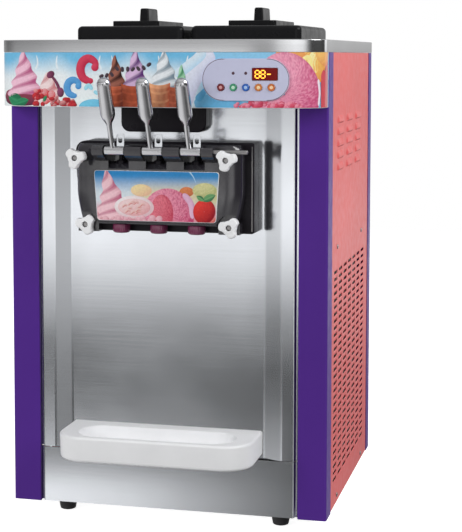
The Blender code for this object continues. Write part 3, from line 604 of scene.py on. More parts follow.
def pan_screw(shape, centre, outward, radius=0.0040, proud=0.0017):
    """A pan-head screw with a cross recess, its head facing outward."""
    turn = Vector((0.0, 0.0, 1.0)).rotation_difference(outward).to_matrix()
    profile = [(radius, 0.0), (radius, proud * 0.35), (radius * 0.86, proud * 0.75), (radius * 0.55, proud)]
    rings = []
    for size, lift in profile:
        rings.append([Vector(centre) + turn @ Vector((x, y, lift)) for x, y in circle(size, 20)])
    skin(shape, rings)
    for across, along in ((0.55, 0.13), (0.13, 0.55)):
        half_x = radius * across
        half_y = radius * along
        outline = [(-half_x, -half_y), (half_x, -half_y), (half_x, half_y), (-half_x, half_y)]
        groove = []
        for lift in (proud * 0.8, proud * 1.01):
            groove.append([Vector(centre) + turn @ Vector((x, y, lift)) for x, y in outline])
        skin(shape, groove, mark=1)


GRILLE_COUNT = (7, 31)                    # columns and rows
GRILLE_PITCH = (0.0514, 0.0117)
GRILLE_START = (0.0896, 0.0465)
GRILLE_SLOT = (0.035, 0.0052)
LOUVRE_COUNT = (3, 5)
LOUVRE_PITCH = (0.099, 0.0197)
LOUVRE_START = (0.128, 0.573)
LOUVRE_SIZE = (0.064, 0.014)
SIDE_SCREWS = ((0.104, 0.439), (0.381, 0.436), (0.112, 0.0133), (0.392, 0.0133))


def cells(start, pitch, count):
    """Both corners and the middle of each cell in a block on a side sheet, as (y, z)."""
    for column_index in range(count[0]):
        y = y_at(start[0] + column_index * pitch[0])
        for row in range(count[1]):
            z = z_at(start[1] + row * pitch[1])
            yield (y - pitch[0] / 2, z - pitch[1] / 2), (y + pitch[0] / 2, z + pitch[1] / 2), (y, z)


def side_panel(side_name):
    """A coral side sheet with its whole grille, its pressed louvres and its screws."""
    name = "side_panel_" + side_name
    side = SIDES[side_name]
    near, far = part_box(name)
    plane = side * (HALF - 0.001)
    shape = bmesh.new()
    for cell in cells(GRILLE_START, GRILLE_PITCH, GRILLE_COUNT):
        slotted_cell(shape, *cell, *GRILLE_SLOT)
    proud = max(abs(near.x), abs(far.x)) - abs(plane)
    for cell in cells(LOUVRE_START, LOUVRE_PITCH, LOUVRE_COUNT):
        louvre(shape, *cell, *LOUVRE_SIZE, proud)
    bmesh.ops.remove_doubles(shape, verts=shape.verts, dist=1e-6)
    inner = [edge for edge in shape.edges if len(edge.link_faces) == 1 and on_cell_border(edge)]
    frame_points = [(near.y, near.z), (far.y, near.z), (far.y, far.z), (near.y, far.z)]
    loop = [shape.verts.new((0.0, y, z)) for y, z in frame_points]
    outer = [shape.edges.new((loop[i], loop[(i + 1) % 4])) for i in range(4)]
    bmesh.ops.triangle_fill(shape, edges=inner + outer, use_beauty=True, use_dissolve=False)
    for vert in shape.verts:
        vert.co.x = plane + side * vert.co.x
    for face in shape.faces:
        face.normal_update()
        if face.normal.x * side < 0:
            face.normal_flip()
    made = piece("sheet_" + name, shape, CORAL, replaces=[name], sharp=40)
    thickened(made, 0.0012)
    screws = bmesh.new()
    for depth, height in SIDE_SCREWS:
        pan_screw(screws, (plane, y_at(depth), z_at(height)), Vector((side, 0.0, 0.0)))
    piece("screws_" + name, screws, [SCREW_STEEL, BLACK], sharp=25)


def on_cell_border(edge):
    """Whether an edge of the flat grid lies on the outline of its block of cells."""
    starts = (GRILLE_START, LOUVRE_START)
    pitches = (GRILLE_PITCH, LOUVRE_PITCH)
    counts = (GRILLE_COUNT, LOUVRE_COUNT)
    for start, pitch, count in zip(starts, pitches, counts):
        left = y_at(start[0] - pitch[0] / 2)
        right = left + pitch[0] * count[0]
        bottom = z_at(start[1] - pitch[1] / 2)
        top = bottom + pitch[1] * count[1]
        for axis, values in ((1, (left, right)), (2, (bottom, top))):
            for value in values:
                if all(abs(vert.co[axis] - value) < 1e-5 for vert in edge.verts):
                    return True
    return False


REAR_BANKS = (-0.105, 0.105)
REAR_ROWS = 9
REAR_START = 0.16
REAR_PITCH = 0.032
REAR_SLOT = (0.08, 0.007)                 # half its length, and its height


def back_panel():
    """The rear sheet with two banks of round-ended slots, its lead entry and screws."""
    near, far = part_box("back_panel")
    made = piece("rear_sheet", solid(box_rings(near, far)), STEEL, replaces=["back_panel"],
                 sharp=30)
    cutters = bmesh.new()
    for centre in REAR_BANKS:
        for row in range(REAR_ROWS):
            z = z_at(REAR_START + row * REAR_PITCH)
            corners = ((centre - REAR_SLOT[0], z), (centre + REAR_SLOT[0], z + REAR_SLOT[1]))
            slot = rounded_rect(*corners, 0.0034, 0.0, 5)
            skin(cutters, [on_y(slot, near.y - 0.01), on_y(slot, far.y + 0.01)])
    hole = circle(0.009, 32, centre_of(*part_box("cable_gland"), "xz"))
    skin(cutters, [on_y(hole, near.y - 0.01), on_y(hole, far.y + 0.01)])
    carve(made, cutters)
    screws = bmesh.new()
    for x in (near.x + 0.012, far.x - 0.012):
        for height in (0.02, 0.26, 0.50, 0.74):
            pan_screw(screws, (x, far.y, z_at(height)), Vector((0.0, 1.0, 0.0)), 0.0040, 0.0009)
    piece("rear_screws", screws, [SCREW_STEEL, BLACK], sharp=25)


def box_rings(near, far):
    outline = [(near[0], near[1]), (far[0], near[1]), (far[0], far[1]), (near[0], far[1])]
    return [on_z(outline, near[2]), on_z(outline, far[2])]


def soften(points, radius, steps=5):
    """Round the corners of an open profile of (x, y) points."""
    result = [points[0]]
    for before, corner, after in zip(points, points[1:], points[2:]):
        a = Vector(before)
        b = Vector(corner)
        c = Vector(after)
        reach = min(radius, (a - b).length / 2.2, (c - b).length / 2.2)
        start = b + (a - b).normalized() * reach
        end = b + (c - b).normalized() * reach
        for step in range(steps + 1):
            t = step / steps
            point = start * (1 - t) ** 2 + b * 2 * t * (1 - t) + end * t ** 2
            result.append((point.x, point.y))
    result.append(points[-1])
    return result


def front_sheet(name, field, window):
    """A front sheet with folded edges; field is its pressed profile, window a hole in it."""
    near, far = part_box(name)
    half = HALF - COLUMN - 0.0053
    fold = 0.0075
    profile = [(-half - 0.016, fold), (-half, fold), (-half, 0.0)] + field
    profile += [(half, 0.0), (half, fold), (half + 0.016, fold)]
    profile = soften(profile, 0.0030)
    if window:
        reach, bottom, top = window
        profile = [p for p in profile if abs(abs(p[0]) - reach) > 0.001]
        split = [i for i, (p, q) in enumerate(zip(profile, profile[1:])) if p[0] < -reach < q[0]][0]
        inner = [(-reach, profile[split][1]), (reach, profile[split][1])]
        profile = profile[:split + 1] + inner + profile[split + 1:]
        levels = [near.z, bottom, top, far.z]
    else:
        levels = [near.z, far.z]
    shape = bmesh.new()
    grid = [[shape.verts.new((x, y_at(y), z)) for x, y in profile] for z in levels]
    for row in range(len(levels) - 1):
        for i in range(len(profile) - 1):
            hole = window and row == 1 and profile[i][0] == -window[0]
            if not hole:
                corners = (grid[row][i], grid[row][i + 1], grid[row + 1][i + 1], grid[row + 1][i])
                shape.faces.new(corners)
    made = piece("sheet_" + name, shape, STEEL, replaces=[name], sharp=60)
    thickened(made, SHEET)
    return made


def front_sheets():
    field = [(-0.194, 0.0), (-0.166, 0.007), (0.166, 0.007), (0.194, 0.0)]
    front_sheet("front_panel_upper", field, (0.130, z_at(0.482), z_at(0.606)))
    front_sheet("front_panel_lower", [], None)


def top_cover():
    """The bowed deck with rolled edges and two hopper openings."""
    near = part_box("top_cover")[0]
    shape = bmesh.new()
    rings = [on_z(bowed_outline(SHEET, REAR), DECK - 0.004), on_z(bowed_outline(SHEET, REAR), near.z)]
    rings.append(on_z(bowed_outline(0.0003, REAR), near.z))
    rings.append(on_z(bowed_outline(0.0, REAR), near.z + 0.0004))
    turn = 0.0012
    for inset, z in rolled(DECK, turn, 4):
        rings.append(on_z(bowed_outline(inset, REAR), z))
    skin(shape, rings, caps=False)
    holes = []
    for side_name in SIDES:
        tub_low, tub_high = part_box("hopper_" + side_name)
        inset = 0.0060
        holes.append(rounded_rect((tub_low.x + inset, tub_low.y + inset),
                                  (tub_high.x - inset, tub_high.y - inset), 0.02))
    fill_between(shape, DECK, bowed_outline(turn, REAR), holes)
    for hole in holes:
        skin(shape, [on_z(hole, DECK - SHEET), on_z(hole, DECK)], caps=False)
    piece("deck", shape, BAND_STEEL, replaces=["top_cover"], sharp=40)


def header():
    """The bowed moulded header that carries the printed film."""
    wall = 0.0025
    back = y_at(-0.0003)
    turn = 0.0014
    rings = []
    for angle in quarter(4):
        inset = 0.0006 + turn * (1 - math.sin(angle))
        rings.append(on_z(bowed_outline(inset, back), FASCIA_LOW + turn * (1 - math.cos(angle))))
    rings.append(on_z(bowed_outline(0.0006, back), FASCIA_HIGH))
    rings.append(on_z(bowed_outline(0.0006 + wall, back), FASCIA_HIGH))
    rings.append(on_z(bowed_outline(0.0006 + wall, back), FASCIA_LOW + wall))
    piece("header", solid(rings), WHITE, replaces=["fascia"], sharp=40)


def feet():
    for place in ("front", "rear"):
        for side_name in SIDES:
            name = f"foot_{place}_{side_name}"
            near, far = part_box(name)
            centre = centre_of(near, far)
            radius = (far.x - near.x) / 2
            profile = [(0.0098, 0.0), (0.0110, 0.0003), (0.0128, 0.0012), (0.0136, 0.0030)]
            profile += [(radius - 0.0006, far.z - 0.0038), (radius, far.z - 0.0024), (radius, far.z)]
            piece("rubber_" + name, solid(turned(profile, "Z", centre, 36)), RUBBER, replaces=[name],
                  sharp=35)


def cable_gland():
    """A hexagonal nut and a ribbed sleeve where a mains lead would enter."""
    near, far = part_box("cable_gland")
    centre = centre_of(near, far, "xz")
    rear = REAR - 0.001
    nut = 0.0130
    shape = solid([on_y(circle(nut * 0.94, 6, centre), rear), on_y(circle(nut, 6, centre), rear + 0.0006),
                   on_y(circle(nut, 6, centre), rear + 0.0036),
                   on_y(circle(nut * 0.94, 6, centre), rear + 0.0042)])
    sleeve = [(0.0046, near.y), (0.0084, near.y), (0.0084, rear + 0.0043)]
    for i in range(3):
        start = rear + 0.0045 + i * 0.0018
        sleeve += [(0.0092, start), (0.0092, start + 0.0010), (0.0082, start + 0.0011),
                   (0.0082, start + 0.0017)]
    sleeve += [(0.0078, far.y), (0.0046, far.y)]
    skin(shape, turned(sleeve, "Y", centre, 28), closed=True)
    piece("gland", shape, BLACK, replaces=["cable_gland"], sharp=25)


# ---------------------------------------------------------------- lids and hoppers


def lid(side_name):
    """A moulded black lid with rolled edges, a raised plate and a bar handle."""
    name = "lid_" + side_name
    near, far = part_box(name)
    x, y = centre_of(near, far)
    top = near.z + 0.0233
    if x < 0:
        far.x += 0.004
    else:
        near.x -= 0.004
    outer = pillow(near, far, 0.012, near.z, top, 0.0080, 0.0006)
    under = on_z(rounded_rect(near, far, 0.012, 0.0025), near.z)
    ceiling = on_z(rounded_rect(near, far, 0.012, 0.0025), top - 0.0025)
    shape = bmesh.new()
    skin(shape, [ceiling, under] + outer)
    plate = ((x - 0.0425, y - 0.087), (x + 0.0425, y + 0.087))
    skin(shape, pillow(*plate, 0.006, top - 0.0005, near.z + 0.0330, 0.0016))
    grip = rounded_grip(x, y, near.z + 0.0325, far.z)
    skin(shape, grip)
    piece("cover_" + name, shape, SATIN_BLACK, "hopper_" + name, [name], sharp=40)


def rounded_grip(x, y, bottom, top):
    """Rings of a bar handle that narrows upwards and has rolled upper edges."""
    wide = 0.0095
    narrow = 0.0078
    long_foot = 0.0335
    long_top = 0.0315
    rings = []
    levels = [(0.0, 0.0), (0.03, 0.45), (0.5, 0.75), (0.86, 1.0)]
    for share, taper in levels:
        half_x = wide + (narrow - wide) * taper
        half_y = long_foot + (long_top - long_foot) * taper
        outline = rounded_rect((x - half_x, y - half_y), (x + half_x, y + half_y), 0.0035, 0.0, 5)
        rings.append(on_z(outline, bottom + (top - bottom) * share))
    turn = (top - bottom) * 0.14
    for inset, z in rolled(top, turn, 4)[1:]:
        outline = rounded_rect((x - narrow, y - long_top), (x + narrow, y + long_top), 0.0036, inset, 5)
        rings.append(on_z(outline, z))
    return rings


# ---------------------------------------------------------------- dispensing head


STUD = 0.0040                             # radius of the door studs
STUD_REACH = 0.0105                       # how far they stand out of the nuts' back faces
STUD_THREADS = 9


def head_backing():
    """The insulated black box behind the freezer door, with four studs and a thin steel strip by its right
    front edge: a painted highlight along that edge.
    """
    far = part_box("head_backing")[1]
    edge = 0.1545
    bottom = z_at(0.471)
    top = z_at(0.618)
    front = y_at(-0.0270)
    shape = bmesh.new()
    left = -0.1465
    outline = []
    outline += arc((edge - 0.004, top - 0.004), 0.004, 0, 90, 8)
    outline += arc((left + 0.016, top - 0.016), 0.016, 90, 90, 8)
    for step in range(1, 17):
        share = step / 16
        outline.append((left + 0.019 * share ** 2.2, top - 0.016 + (bottom - top + 0.016) * share))
    outline += [(edge - 0.0035, bottom), (edge - 0.0010, bottom + 0.0010), (edge, bottom + 0.0035)]
    middle = Vector(((edge + left) / 2, (top + bottom) / 2))
    rings = []
    for inset, depth in ((0.0, far.y), (0.0, front + 0.0016), (0.0005, front + 0.0005), (0.0016, front)):
        shrunk = [Vector(point) + (middle - Vector(point)).normalized() * inset * 1.2 for point in outline]
        rings.append(on_y(shrunk, depth))
    skin(shape, rings)
    made = piece("head_box", shape, BLACK, replaces=["head_backing"], sharp=40)
    mouths = bmesh.new()
    for side in SIDES.values():
        axis = centre_of(*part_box("cylinder_left" if side < 0 else "cylinder_right"), "xz")
        seat = [(0.0470, far.y + 0.01), (0.0470, y_at(-0.0005)), (0.0370, y_at(-0.0005)),
                (0.0370, front - 0.01)]
        skin(mouths, turned(seat, "Y", axis, 48))
    carve(made, mouths)
    # a thin steel strip by the right front edge only: a painted highlight of the rounded edge
    highlight_strip = bmesh.new()
    skin(highlight_strip, box_rings((edge - 0.0040, front - 0.0005, bottom + 0.004),
                         (edge - 0.0028, front + 0.0005, top - 0.006)))
    piece("edge_highlight_strip", highlight_strip, SCREW_STEEL, sharp=30)
    studs = bmesh.new()
    for level in ("top", "low"):
        for side_name in SIDES:
            spot = nut_place(level, side_name)
            tip = spot.y - STUD_REACH
            thread = spot.y - 0.0040
            profile = [(STUD, front + 0.003), (STUD, thread)]
            for i in range(STUD_THREADS):
                start = thread + (tip - thread) * i / STUD_THREADS
                profile += [(STUD, start), (0.0036, start + (tip - thread) * 0.5 / STUD_THREADS)]
            profile += [(0.0034, tip), (0.0028, tip - 0.0003)]
            skin(studs, turned(profile, "Y", (spot.x, spot.z), 20))
    piece("door_studs", studs, SCREW_STEEL, sharp=25)


def nut_place(level, side_name):
    """Centre of a hand nut's back face."""
    name = f"knob_{level}_{side_name}"
    pivot = PIVOTS[name + "_turn"]
    return Vector((pivot.x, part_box(name)[1].y, pivot.z))


def hand_nut(level, side_name):
    """A white three-lobed hand nut with rolled edges around its stud."""
    spot = nut_place(level, side_name)
    phase = math.radians({"top": 16, "low": 50}[level])
    count = 96
    radius = 0.0176

    def lobes(size):
        def reach(angle):
            swell = math.tanh(2.0 * math.cos(3 * (angle - phase))) / math.tanh(2.0)
            return size * (0.0146 + 0.0030 * swell) / radius
        return waved(reach, count, (spot.x, spot.z))

    def ring(size):
        return circle(size, count, (spot.x, spot.z))

    profile = [(0.0164, 0.0), (0.0170, -0.0003), (0.0175, -0.0011), (0.0176, -0.0022), (0.0176, -0.0096)]
    profile += [(0.0174, -0.0109), (0.0168, -0.0121), (0.0157, -0.0129), (0.0145, -0.0131)]
    rings = [on_y(lobes(size), spot.y + depth) for size, depth in profile]
    rings += [on_y(ring(0.0082), spot.y - 0.0133), on_y(ring(0.0070), spot.y - 0.0138)]
    rings += [on_y(ring(0.0056), spot.y - 0.0138), on_y(ring(0.0048), spot.y - 0.0132),
              on_y(ring(0.0047), spot.y)]
    shape = bmesh.new()
    skin(shape, rings, closed=True)
    name = f"knob_{level}_{side_name}"
    piece("nut_" + name, shape, WHITE, f"hand_nut_{level}_{side_name}", [name], sharp=40)


def door_outline(half, front):
    """Plan of the freezer door: flat front, swelling flanks, flat back."""
    back = high("freezer_door").y - 0.0004
    shoulder = y_at(-0.0330)
    flat = half - 0.0335
    points = [(half, back)]
    for angle in quarter(10):
        points.append((flat + (half - flat) * math.cos(angle) ** 0.9,
                       shoulder + (front - shoulder) * math.sin(angle) ** 0.9))
    points += [(-x, y) for x, y in reversed(points)]
    return list(reversed(points))


DOOR_HALF = 0.140
DOOR_TAPER = (0.0105, 0.0040)             # how much narrower each side is at the bottom and at the top
EAR_GAP = 0.0179                          # from a lever's middle to the hinge ears beside it
SLOT_HALF = 0.0172                        # half the width of a lever's slot
BORE = 0.0085                             # radii: valve bores, stud holes, nut pockets, hinge pin's hole
STUD_HOLE = 0.0046
NUT_POCKET = 0.0205
PIN_HOLE = 0.0040


def freezer_door():
    """The black head block with curved flanks, valve bores, lever slots, ears and bosses."""
    bottom = z_at(0.4855)
    top = z_at(0.6145)
    front = y_at(-0.0580)
    turn = 0.0022
    rings = []
    for share in [i / 24 for i in range(25)]:
        z = bottom + (top - bottom) * share
        narrow = DOOR_TAPER[0] * max(0.42 - share, 0.0) ** 1.5 / 0.42 ** 1.5
        narrow += DOOR_TAPER[1] * max(share - 0.86, 0.0) ** 2 / 0.14 ** 2
        edge = min(z - bottom, top - z)
        inset = turn * (1 - math.sqrt(max(1 - (1 - min(edge / turn, 1.0)) ** 2, 0.0)))
        rings.append((DOOR_HALF - narrow - inset, front + inset, z))
    for share in (0.15, 0.45):
        edge = turn * share
        inset = turn * (1 - math.sqrt(1 - (1 - share) ** 2))
        rings.append((DOOR_HALF - DOOR_TAPER[0] - inset, front + inset, bottom + edge))
        rings.append((DOOR_HALF - DOOR_TAPER[1] - inset, front + inset, top - edge))
    rings.sort(key=lambda ring: ring[2])
    made = piece("door_block", solid([on_z(door_outline(half, y), z) for half, y, z in rings]), GLOSS_BLACK,
                 replaces=["freezer_door"], sharp=40)

    added = bmesh.new()
    hinge_y = HINGE.y
    ear = [(y_at(-0.052), 0.5865), (y_at(-0.052), 0.6120), (hinge_y + 0.002, 0.6142),
           (hinge_y - 0.0060, 0.6125)]
    ear += [(hinge_y - 0.0088, 0.6090), (hinge_y - 0.0095, 0.6055), (hinge_y - 0.0078, 0.6010)]
    ear += [(hinge_y - 0.0040, 0.5975), (y_at(-0.066), 0.5890)]
    ear_outline = [(y, z_at(height)) for y, height in ear]
    walls = ((-0.1000, -PITCH - EAR_GAP), (-PITCH + EAR_GAP, -EAR_GAP),
             (EAR_GAP, PITCH - EAR_GAP), (PITCH + EAR_GAP, 0.1000))
    for start, end in walls:
        skin(added, [on_x(ear_outline, start), on_x(ear_outline, end)])
    for side_name, side in SIDES.items():
        spot = nut_place("top", side_name)
        skin(added, turned([(0.0078, y_at(-0.040)), (0.0078, spot.y + 0.0003)], "Y", (spot.x, spot.z), 28))
        x_near, x_far = sorted((side * 0.1005, side * 0.1355))
        skin(added, box_rings((x_near, y_at(-0.0470), z_at(0.4712)), (x_far, y_at(-0.0276), z_at(0.4900))))
    for across in VALVES.values():
        axis = (across, (low("valve_centre").y + high("valve_centre").y) / 2)
        skin(added, turned([(0.0112, z_at(0.4745)), (0.0112, z_at(0.4900))], "Z", axis, 32))
    carve(made, added, "UNION")

    cuts = bmesh.new()
    slot = [(0.120, 0.5640), (0.0590, 0.5740), (0.0500, 0.5830), (0.0345, 0.5860), (0.0345, 0.640),
            (0.120, 0.640)]
    slot_outline = [(y_at(-ahead), z_at(height)) for ahead, height in slot]
    for across in VALVES.values():
        skin(cuts, [on_x(slot_outline, across - SLOT_HALF), on_x(slot_outline, across + SLOT_HALF)])
    carve(made, cuts)
    bores = bmesh.new()
    for across in VALVES.values():
        axis = (across, (low("valve_centre").y + high("valve_centre").y) / 2)
        skin(bores, turned([(BORE, z_at(0.460)), (BORE, z_at(0.630))], "Z", axis, 32))
    for side_name in SIDES:
        for level in ("top", "low"):
            spot = nut_place(level, side_name)
            drill = [(STUD_HOLE, y_at(-0.010)), (STUD_HOLE, y_at(-0.110))]
            skin(bores, turned(drill, "Y", (spot.x, spot.z), 20))
    carve(made, bores)
    pockets = bmesh.new()
    for side_name in SIDES:
        spot = nut_place("low", side_name)
        drill = [(NUT_POCKET, spot.y + 0.0003), (NUT_POCKET, y_at(-0.090))]
        skin(pockets, turned(drill, "Y", (spot.x, spot.z), 40))
    skin(pockets, turned([(PIN_HOLE, -0.120), (PIN_HOLE, 0.120)], "X", (HINGE.y, HINGE.z), 24))
    carve(made, pockets)
    made.data.set_sharp_from_angle(angle=math.radians(38))
    bevelled(made, 0.0007, 2, 50)


def nozzle_cap(valve_name):
    """A shaped outlet cap with a grip of fine ribs and a six-pointed opening."""
    name = "nozzle_cap_" + valve_name
    near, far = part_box(name)
    centre = centre_of(near, far)
    count = 96
    radius = (far.x - near.x) / 2

    def ribbed(size, height):
        ribs = waved(lambda angle: size - 0.0004 * (0.5 + 0.5 * math.cos(24 * angle)), count, centre)
        return on_z(ribs, near.z + height)

    def star(height):
        return on_z(waved(lambda angle: 0.0058 + 0.0018 * math.cos(6 * angle), count, centre),
                    near.z + height)

    def ring(size, height):
        return on_z(circle(size, count, centre), near.z + height)

    rings = [ring(0.0112, 0.0), ring(0.0124, 0.0004), ring(0.0132, 0.0013), ribbed(radius, 0.0030)]
    rings += [ribbed(radius, 0.0132), ring(radius - 0.0006, 0.0140), ring(radius - 0.0012, 0.0145)]
    rings += [ring(0.0118, 0.0145), ring(0.0116, 0.0142), ring(0.0116, 0.0042), star(0.0040), star(0.0)]
    shape = bmesh.new()
    skin(shape, rings, closed=True)
    piece("ribbed_" + name, shape, MAROON, replaces=[name], sharp=35)


LEVER_LEAN = math.radians(23.4)
GRIP_START = 0.055                        # along the lever, where the slim stem swells into the grip
GRIP_WIDER = 1.08
GRIP_THINNER = 0.96
GRIP_ASIDE = -0.003
PRONG_START = 0.0042                      # behind the hinge axis, clear of the pin


def lever(valve_name):
    """A chromed draw lever: hub, slim stem, tapered grip, switch plate and lifting fork."""
    name = "lever_" + valve_name
    pivot = PIVOTS[name + "_pull"]
    lean = Matrix.Rotation(LEVER_LEAN, 3, "X")
    hub = [(0.0058, -0.0165), (0.0066, -0.0161), (0.0070, -0.0153)]
    hub += [(radius, -across) for radius, across in reversed(hub)]
    hub = [(radius, pivot.x + across) for radius, across in hub]
    shape = solid(turned(hub, "X", (pivot.y, pivot.z), 36))
    stem = [(0.0042, 0.004), (0.0042, 0.0445), (0.0046, 0.0470), (0.0060, 0.0505), (0.0085, 0.0560)]
    stem += [(0.0101, 0.0600), (0.0110, 0.0640), (0.0112, 0.0680), (0.0110, 0.0850), (0.0106, 0.1020)]
    stem += [(0.0103, 0.1150)]
    for step in range(1, 9):
        angle = math.pi / 2 * step / 9
        stem.append((0.0004 + 0.0099 * math.cos(angle) ** 0.65, 0.1160 + 0.0107 * math.sin(angle) ** 1.2))
    rings = []
    for radius, distance in stem:
        ring = []
        wide = GRIP_WIDER if distance > GRIP_START else 1.0
        for x, y in circle(radius, 40):
            spot = pivot + lean @ Vector((x * wide, y * GRIP_THINNER, distance))
            ring.append(spot + Vector((GRIP_ASIDE, 0.0, 0.0)))
        rings.append(ring)
    skin(shape, rings)
    made = piece("grip_" + name, shape, CHROME, "draw_" + name, [name], sharp=35)
    bore = solid(turned([(0.0039, -0.13), (0.0039, 0.13)], "X", (pivot.y, pivot.z), 24))
    carve(made, bore)

    plate = rounded_rect((0.0034, 0.004), (0.0157, 0.027), 0.0028, 0.0, 6)
    eye = rounded_rect((0.0058, 0.0120), (0.0128, 0.0215), 0.0033, 0.0, 6)
    shape = bmesh.new()
    for depth in (0.0010, 0.0026):
        fill_between(shape, depth, plate, [eye])
    skin(shape, [on_z(plate, 0.0010), on_z(plate, 0.0026)], caps=False)
    skin(shape, [on_z(eye, 0.0010), on_z(eye, 0.0026)], caps=False)
    bmesh.ops.remove_doubles(shape, verts=shape.verts, dist=1e-6)
    for vert in shape.verts:
        vert.co = pivot + Vector((vert.co.x, vert.co.z, vert.co.y))
    bmesh.ops.recalc_face_normals(shape, faces=shape.faces)
    for side in (-0.0063, 0.0063):
        corner = pivot + Vector((side - 0.0020, PRONG_START, -0.0050))
        far = pivot + Vector((side + 0.0020, 0.0400, -0.0010))
        skin(shape, box_rings(corner, far))
    made = piece("plate_" + name, shape, STEEL, "draw_" + name, sharp=30)
    bevelled(made, 0.0004, 2, 35).harden_normals = True


def valve(valve_name):
    """A white draw valve with two seals, a neck and a collar."""
    name = "valve_" + valve_name
    near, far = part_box(name)
    centre = centre_of(near, far)
    profile = [(0.0060, 0.0), (0.0074, 0.0006), (0.0080, 0.0020), (0.0080, 0.012), (0.0074, 0.0123),
               (0.0074, 0.0147), (0.0080, 0.0150), (0.0080, 0.045)]
    neck = [(0.0080, 0.045), (0.0080, 0.052), (0.0074, 0.0523), (0.0074, 0.0547), (0.0080, 0.0550),
            (0.0080, 0.1036), (0.0074, 0.1043), (0.0036, 0.1046), (0.0036, 0.1222), (0.0070, 0.1225),
            (0.0078, 0.1230), (0.0078, 0.1258), (0.0072, 0.1265)]
    shape = bmesh.new()
    for mark, part in enumerate((profile, neck)):
        skin(shape, turned([(radius, near.z + height) for radius, height in part], "Z", centre, 36),
             mark=mark)
    piece("piston_" + name, shape, [WHITE, BLACK], "draw_" + name, [name], sharp=35)


def pivot_pin():
    near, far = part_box("pivot_pin")
    profile = [(0.0018, near.x), (0.0029, near.x + 0.0004), (0.0035, near.x + 0.0013)]
    profile += [(0.0035, far.x - 0.0016), (0.0029, far.x - 0.0006), (0.0018, far.x)]
    piece("hinge_pin", solid(turned(profile, "X", (HINGE.y, HINGE.z), 32)), SCREW_STEEL,
          replaces=["pivot_pin"],
          sharp=35)


def switch_cover():
    """The black cover under the header, with round lower corners and a rolled front edge."""
    near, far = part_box("switch_cover")
    outline = []
    for x, z in rounded_rect((near.x, near.z), (far.x, far.z + 0.014), 0.0150, 0.0, 10):
        outline.append((x, min(z, far.z)))
    turn = 0.0024
    rings = [on_y(outline, far.y)]
    for angle in quarter(5):
        inset = turn * (1 - math.cos(angle))
        scale_x = 1 - inset / far.x
        ring = []
        for x, z in outline:
            share = min((far.z - z) / (far.z - near.z), 1.0)
            ring.append((x * scale_x, z + inset * share))
        rings.append(on_y(ring, near.y + turn * (1 - math.sin(angle))))
    piece("switch_box", solid(rings), BLACK, replaces=["switch_cover"], sharp=40)


def drip_tray():
    """The white tray with round front corners, a rolled rim and an oval basin."""
    near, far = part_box("drip_tray")
    half = far.x
    back = far.y
    front = near.y
    corner = 0.048
    basin_turn = 0.036

    def plan(inset, lean=0.0):
        points = [(half - inset, back), (-half + inset, back)]
        turn = corner - inset
        for start, sign in ((180, -1), (270, 1)):
            points += arc((sign * (half - corner), front + lean + corner), turn, start, 90, 16)
        return points

    def basin(inset):
        return rounded_rect((-0.130, y_at(-0.096)), (0.130, y_at(-0.022)), basin_turn, inset, 14)

    rim = 0.0042
    outer = [on_z(plan(0.0060, 0.004), near.z), on_z(plan(0.0035, 0.003), near.z + 0.0006)]
    outer += [on_z(plan(0.0014, 0.0024), near.z + 0.0022), on_z(plan(0.0004, 0.002), near.z + 0.0050)]
    steps = 7
    outer += [on_z(plan(inset), z) for inset, z in rolled(far.z, rim, steps)]
    shape = bmesh.new()
    skin(shape, outer, caps=False)
    floor = [shape.verts.new(point) for point in on_z(plan(0.0060, 0.004), near.z)]
    shape.faces.new(list(reversed(floor)))
    lip = 0.0030
    fill_between(shape, far.z, plan(rim), [basin(-lip)])
    inner = []
    for angle in quarter(steps):
        inner.append((-lip + lip * math.sin(angle), far.z - lip * (1 - math.cos(angle))))
    inner += [(0.0015, far.z - 0.009), (0.0035, far.z - 0.016), (0.0070, far.z - 0.0200),
              (0.0120, far.z - 0.0220)]
    skin(shape, [on_z(basin(inset), z) for inset, z in inner], caps=False)
    bottom = [shape.verts.new(point) for point in on_z(basin(0.0120), far.z - 0.0220)]
    shape.faces.new(bottom)
    bmesh.ops.remove_doubles(shape, verts=shape.verts, dist=1e-6)
    bmesh.ops.recalc_face_normals(shape, faces=shape.faces)
    made = piece("tray", shape, WHITE, "tray", ["drip_tray"], sharp=45)
    made.visible_glossy = False


# ---------------------------------------------------------------- control panel

PANEL_THICK = 0.0040


def bowed_slab(outline, lift, top, turn, columns):
    """Rings of a plate that follows the bowed header and has a rolled front edge."""
    left = min(x for x, z in outline)
    right = max(x for x, z in outline)
    rings = []
    for i in range(columns + 1):
        share = 0.5 - 0.5 * math.cos(math.pi * i / columns)
        x = left + (right - left) * (0.002 + 0.996 * share)
        heights = []
        for (x0, z0), (x1, z1) in zip(outline, outline[1:] + outline[:1]):
            if (x0 - x) * (x1 - x) < 0:
                heights.append(z0 + (z1 - z0) * (x - x0) / (x1 - x0))
        bottom = min(heights)
        crown = max(heights)
        edge = min((x - left) / turn, (right - x) / turn, 1.0)
        rim = top - turn * (1 - math.sqrt(max(1 - (1 - edge) ** 2, 0.0)))
        rim = max(rim, lift + 0.0002)
        roll = min(turn, (crown - bottom) / 3)
        ring = [bow_point(x, bottom, lift), bow_point(x, bottom, rim - roll)]
        ring += [bow_point(x, bottom + roll * 0.3, rim - roll * 0.3), bow_point(x, bottom + roll, rim)]
        ring += [bow_point(x, crown - roll, rim), bow_point(x, crown - roll * 0.3, rim - roll * 0.3)]
        ring += [bow_point(x, crown, rim - roll), bow_point(x, crown, lift)]
        rings.append(ring)
    return rings


PANEL_EDGES = ((0.0832, z_at(0.6868)), (0.2186, z_at(0.7530)))


def panel_outline(inset):
    return rounded_rect(*PANEL_EDGES, 0.032, inset, 16)


def facing_disc(x, z, profile, count=32):
    """Rings of a round piece square to the header; profile holds (radius, lift) pairs."""
    normal = bow_normal(x)
    across = Vector((-normal.y, normal.x, 0.0))
    up = Vector((0.0, 0.0, 1.0))
    rings = []
    for radius, lift in profile:
        centre = bow_point(x, z, lift)
        rings.append([centre + across * a + up * b for a, b in circle(radius, count)])
    return rings


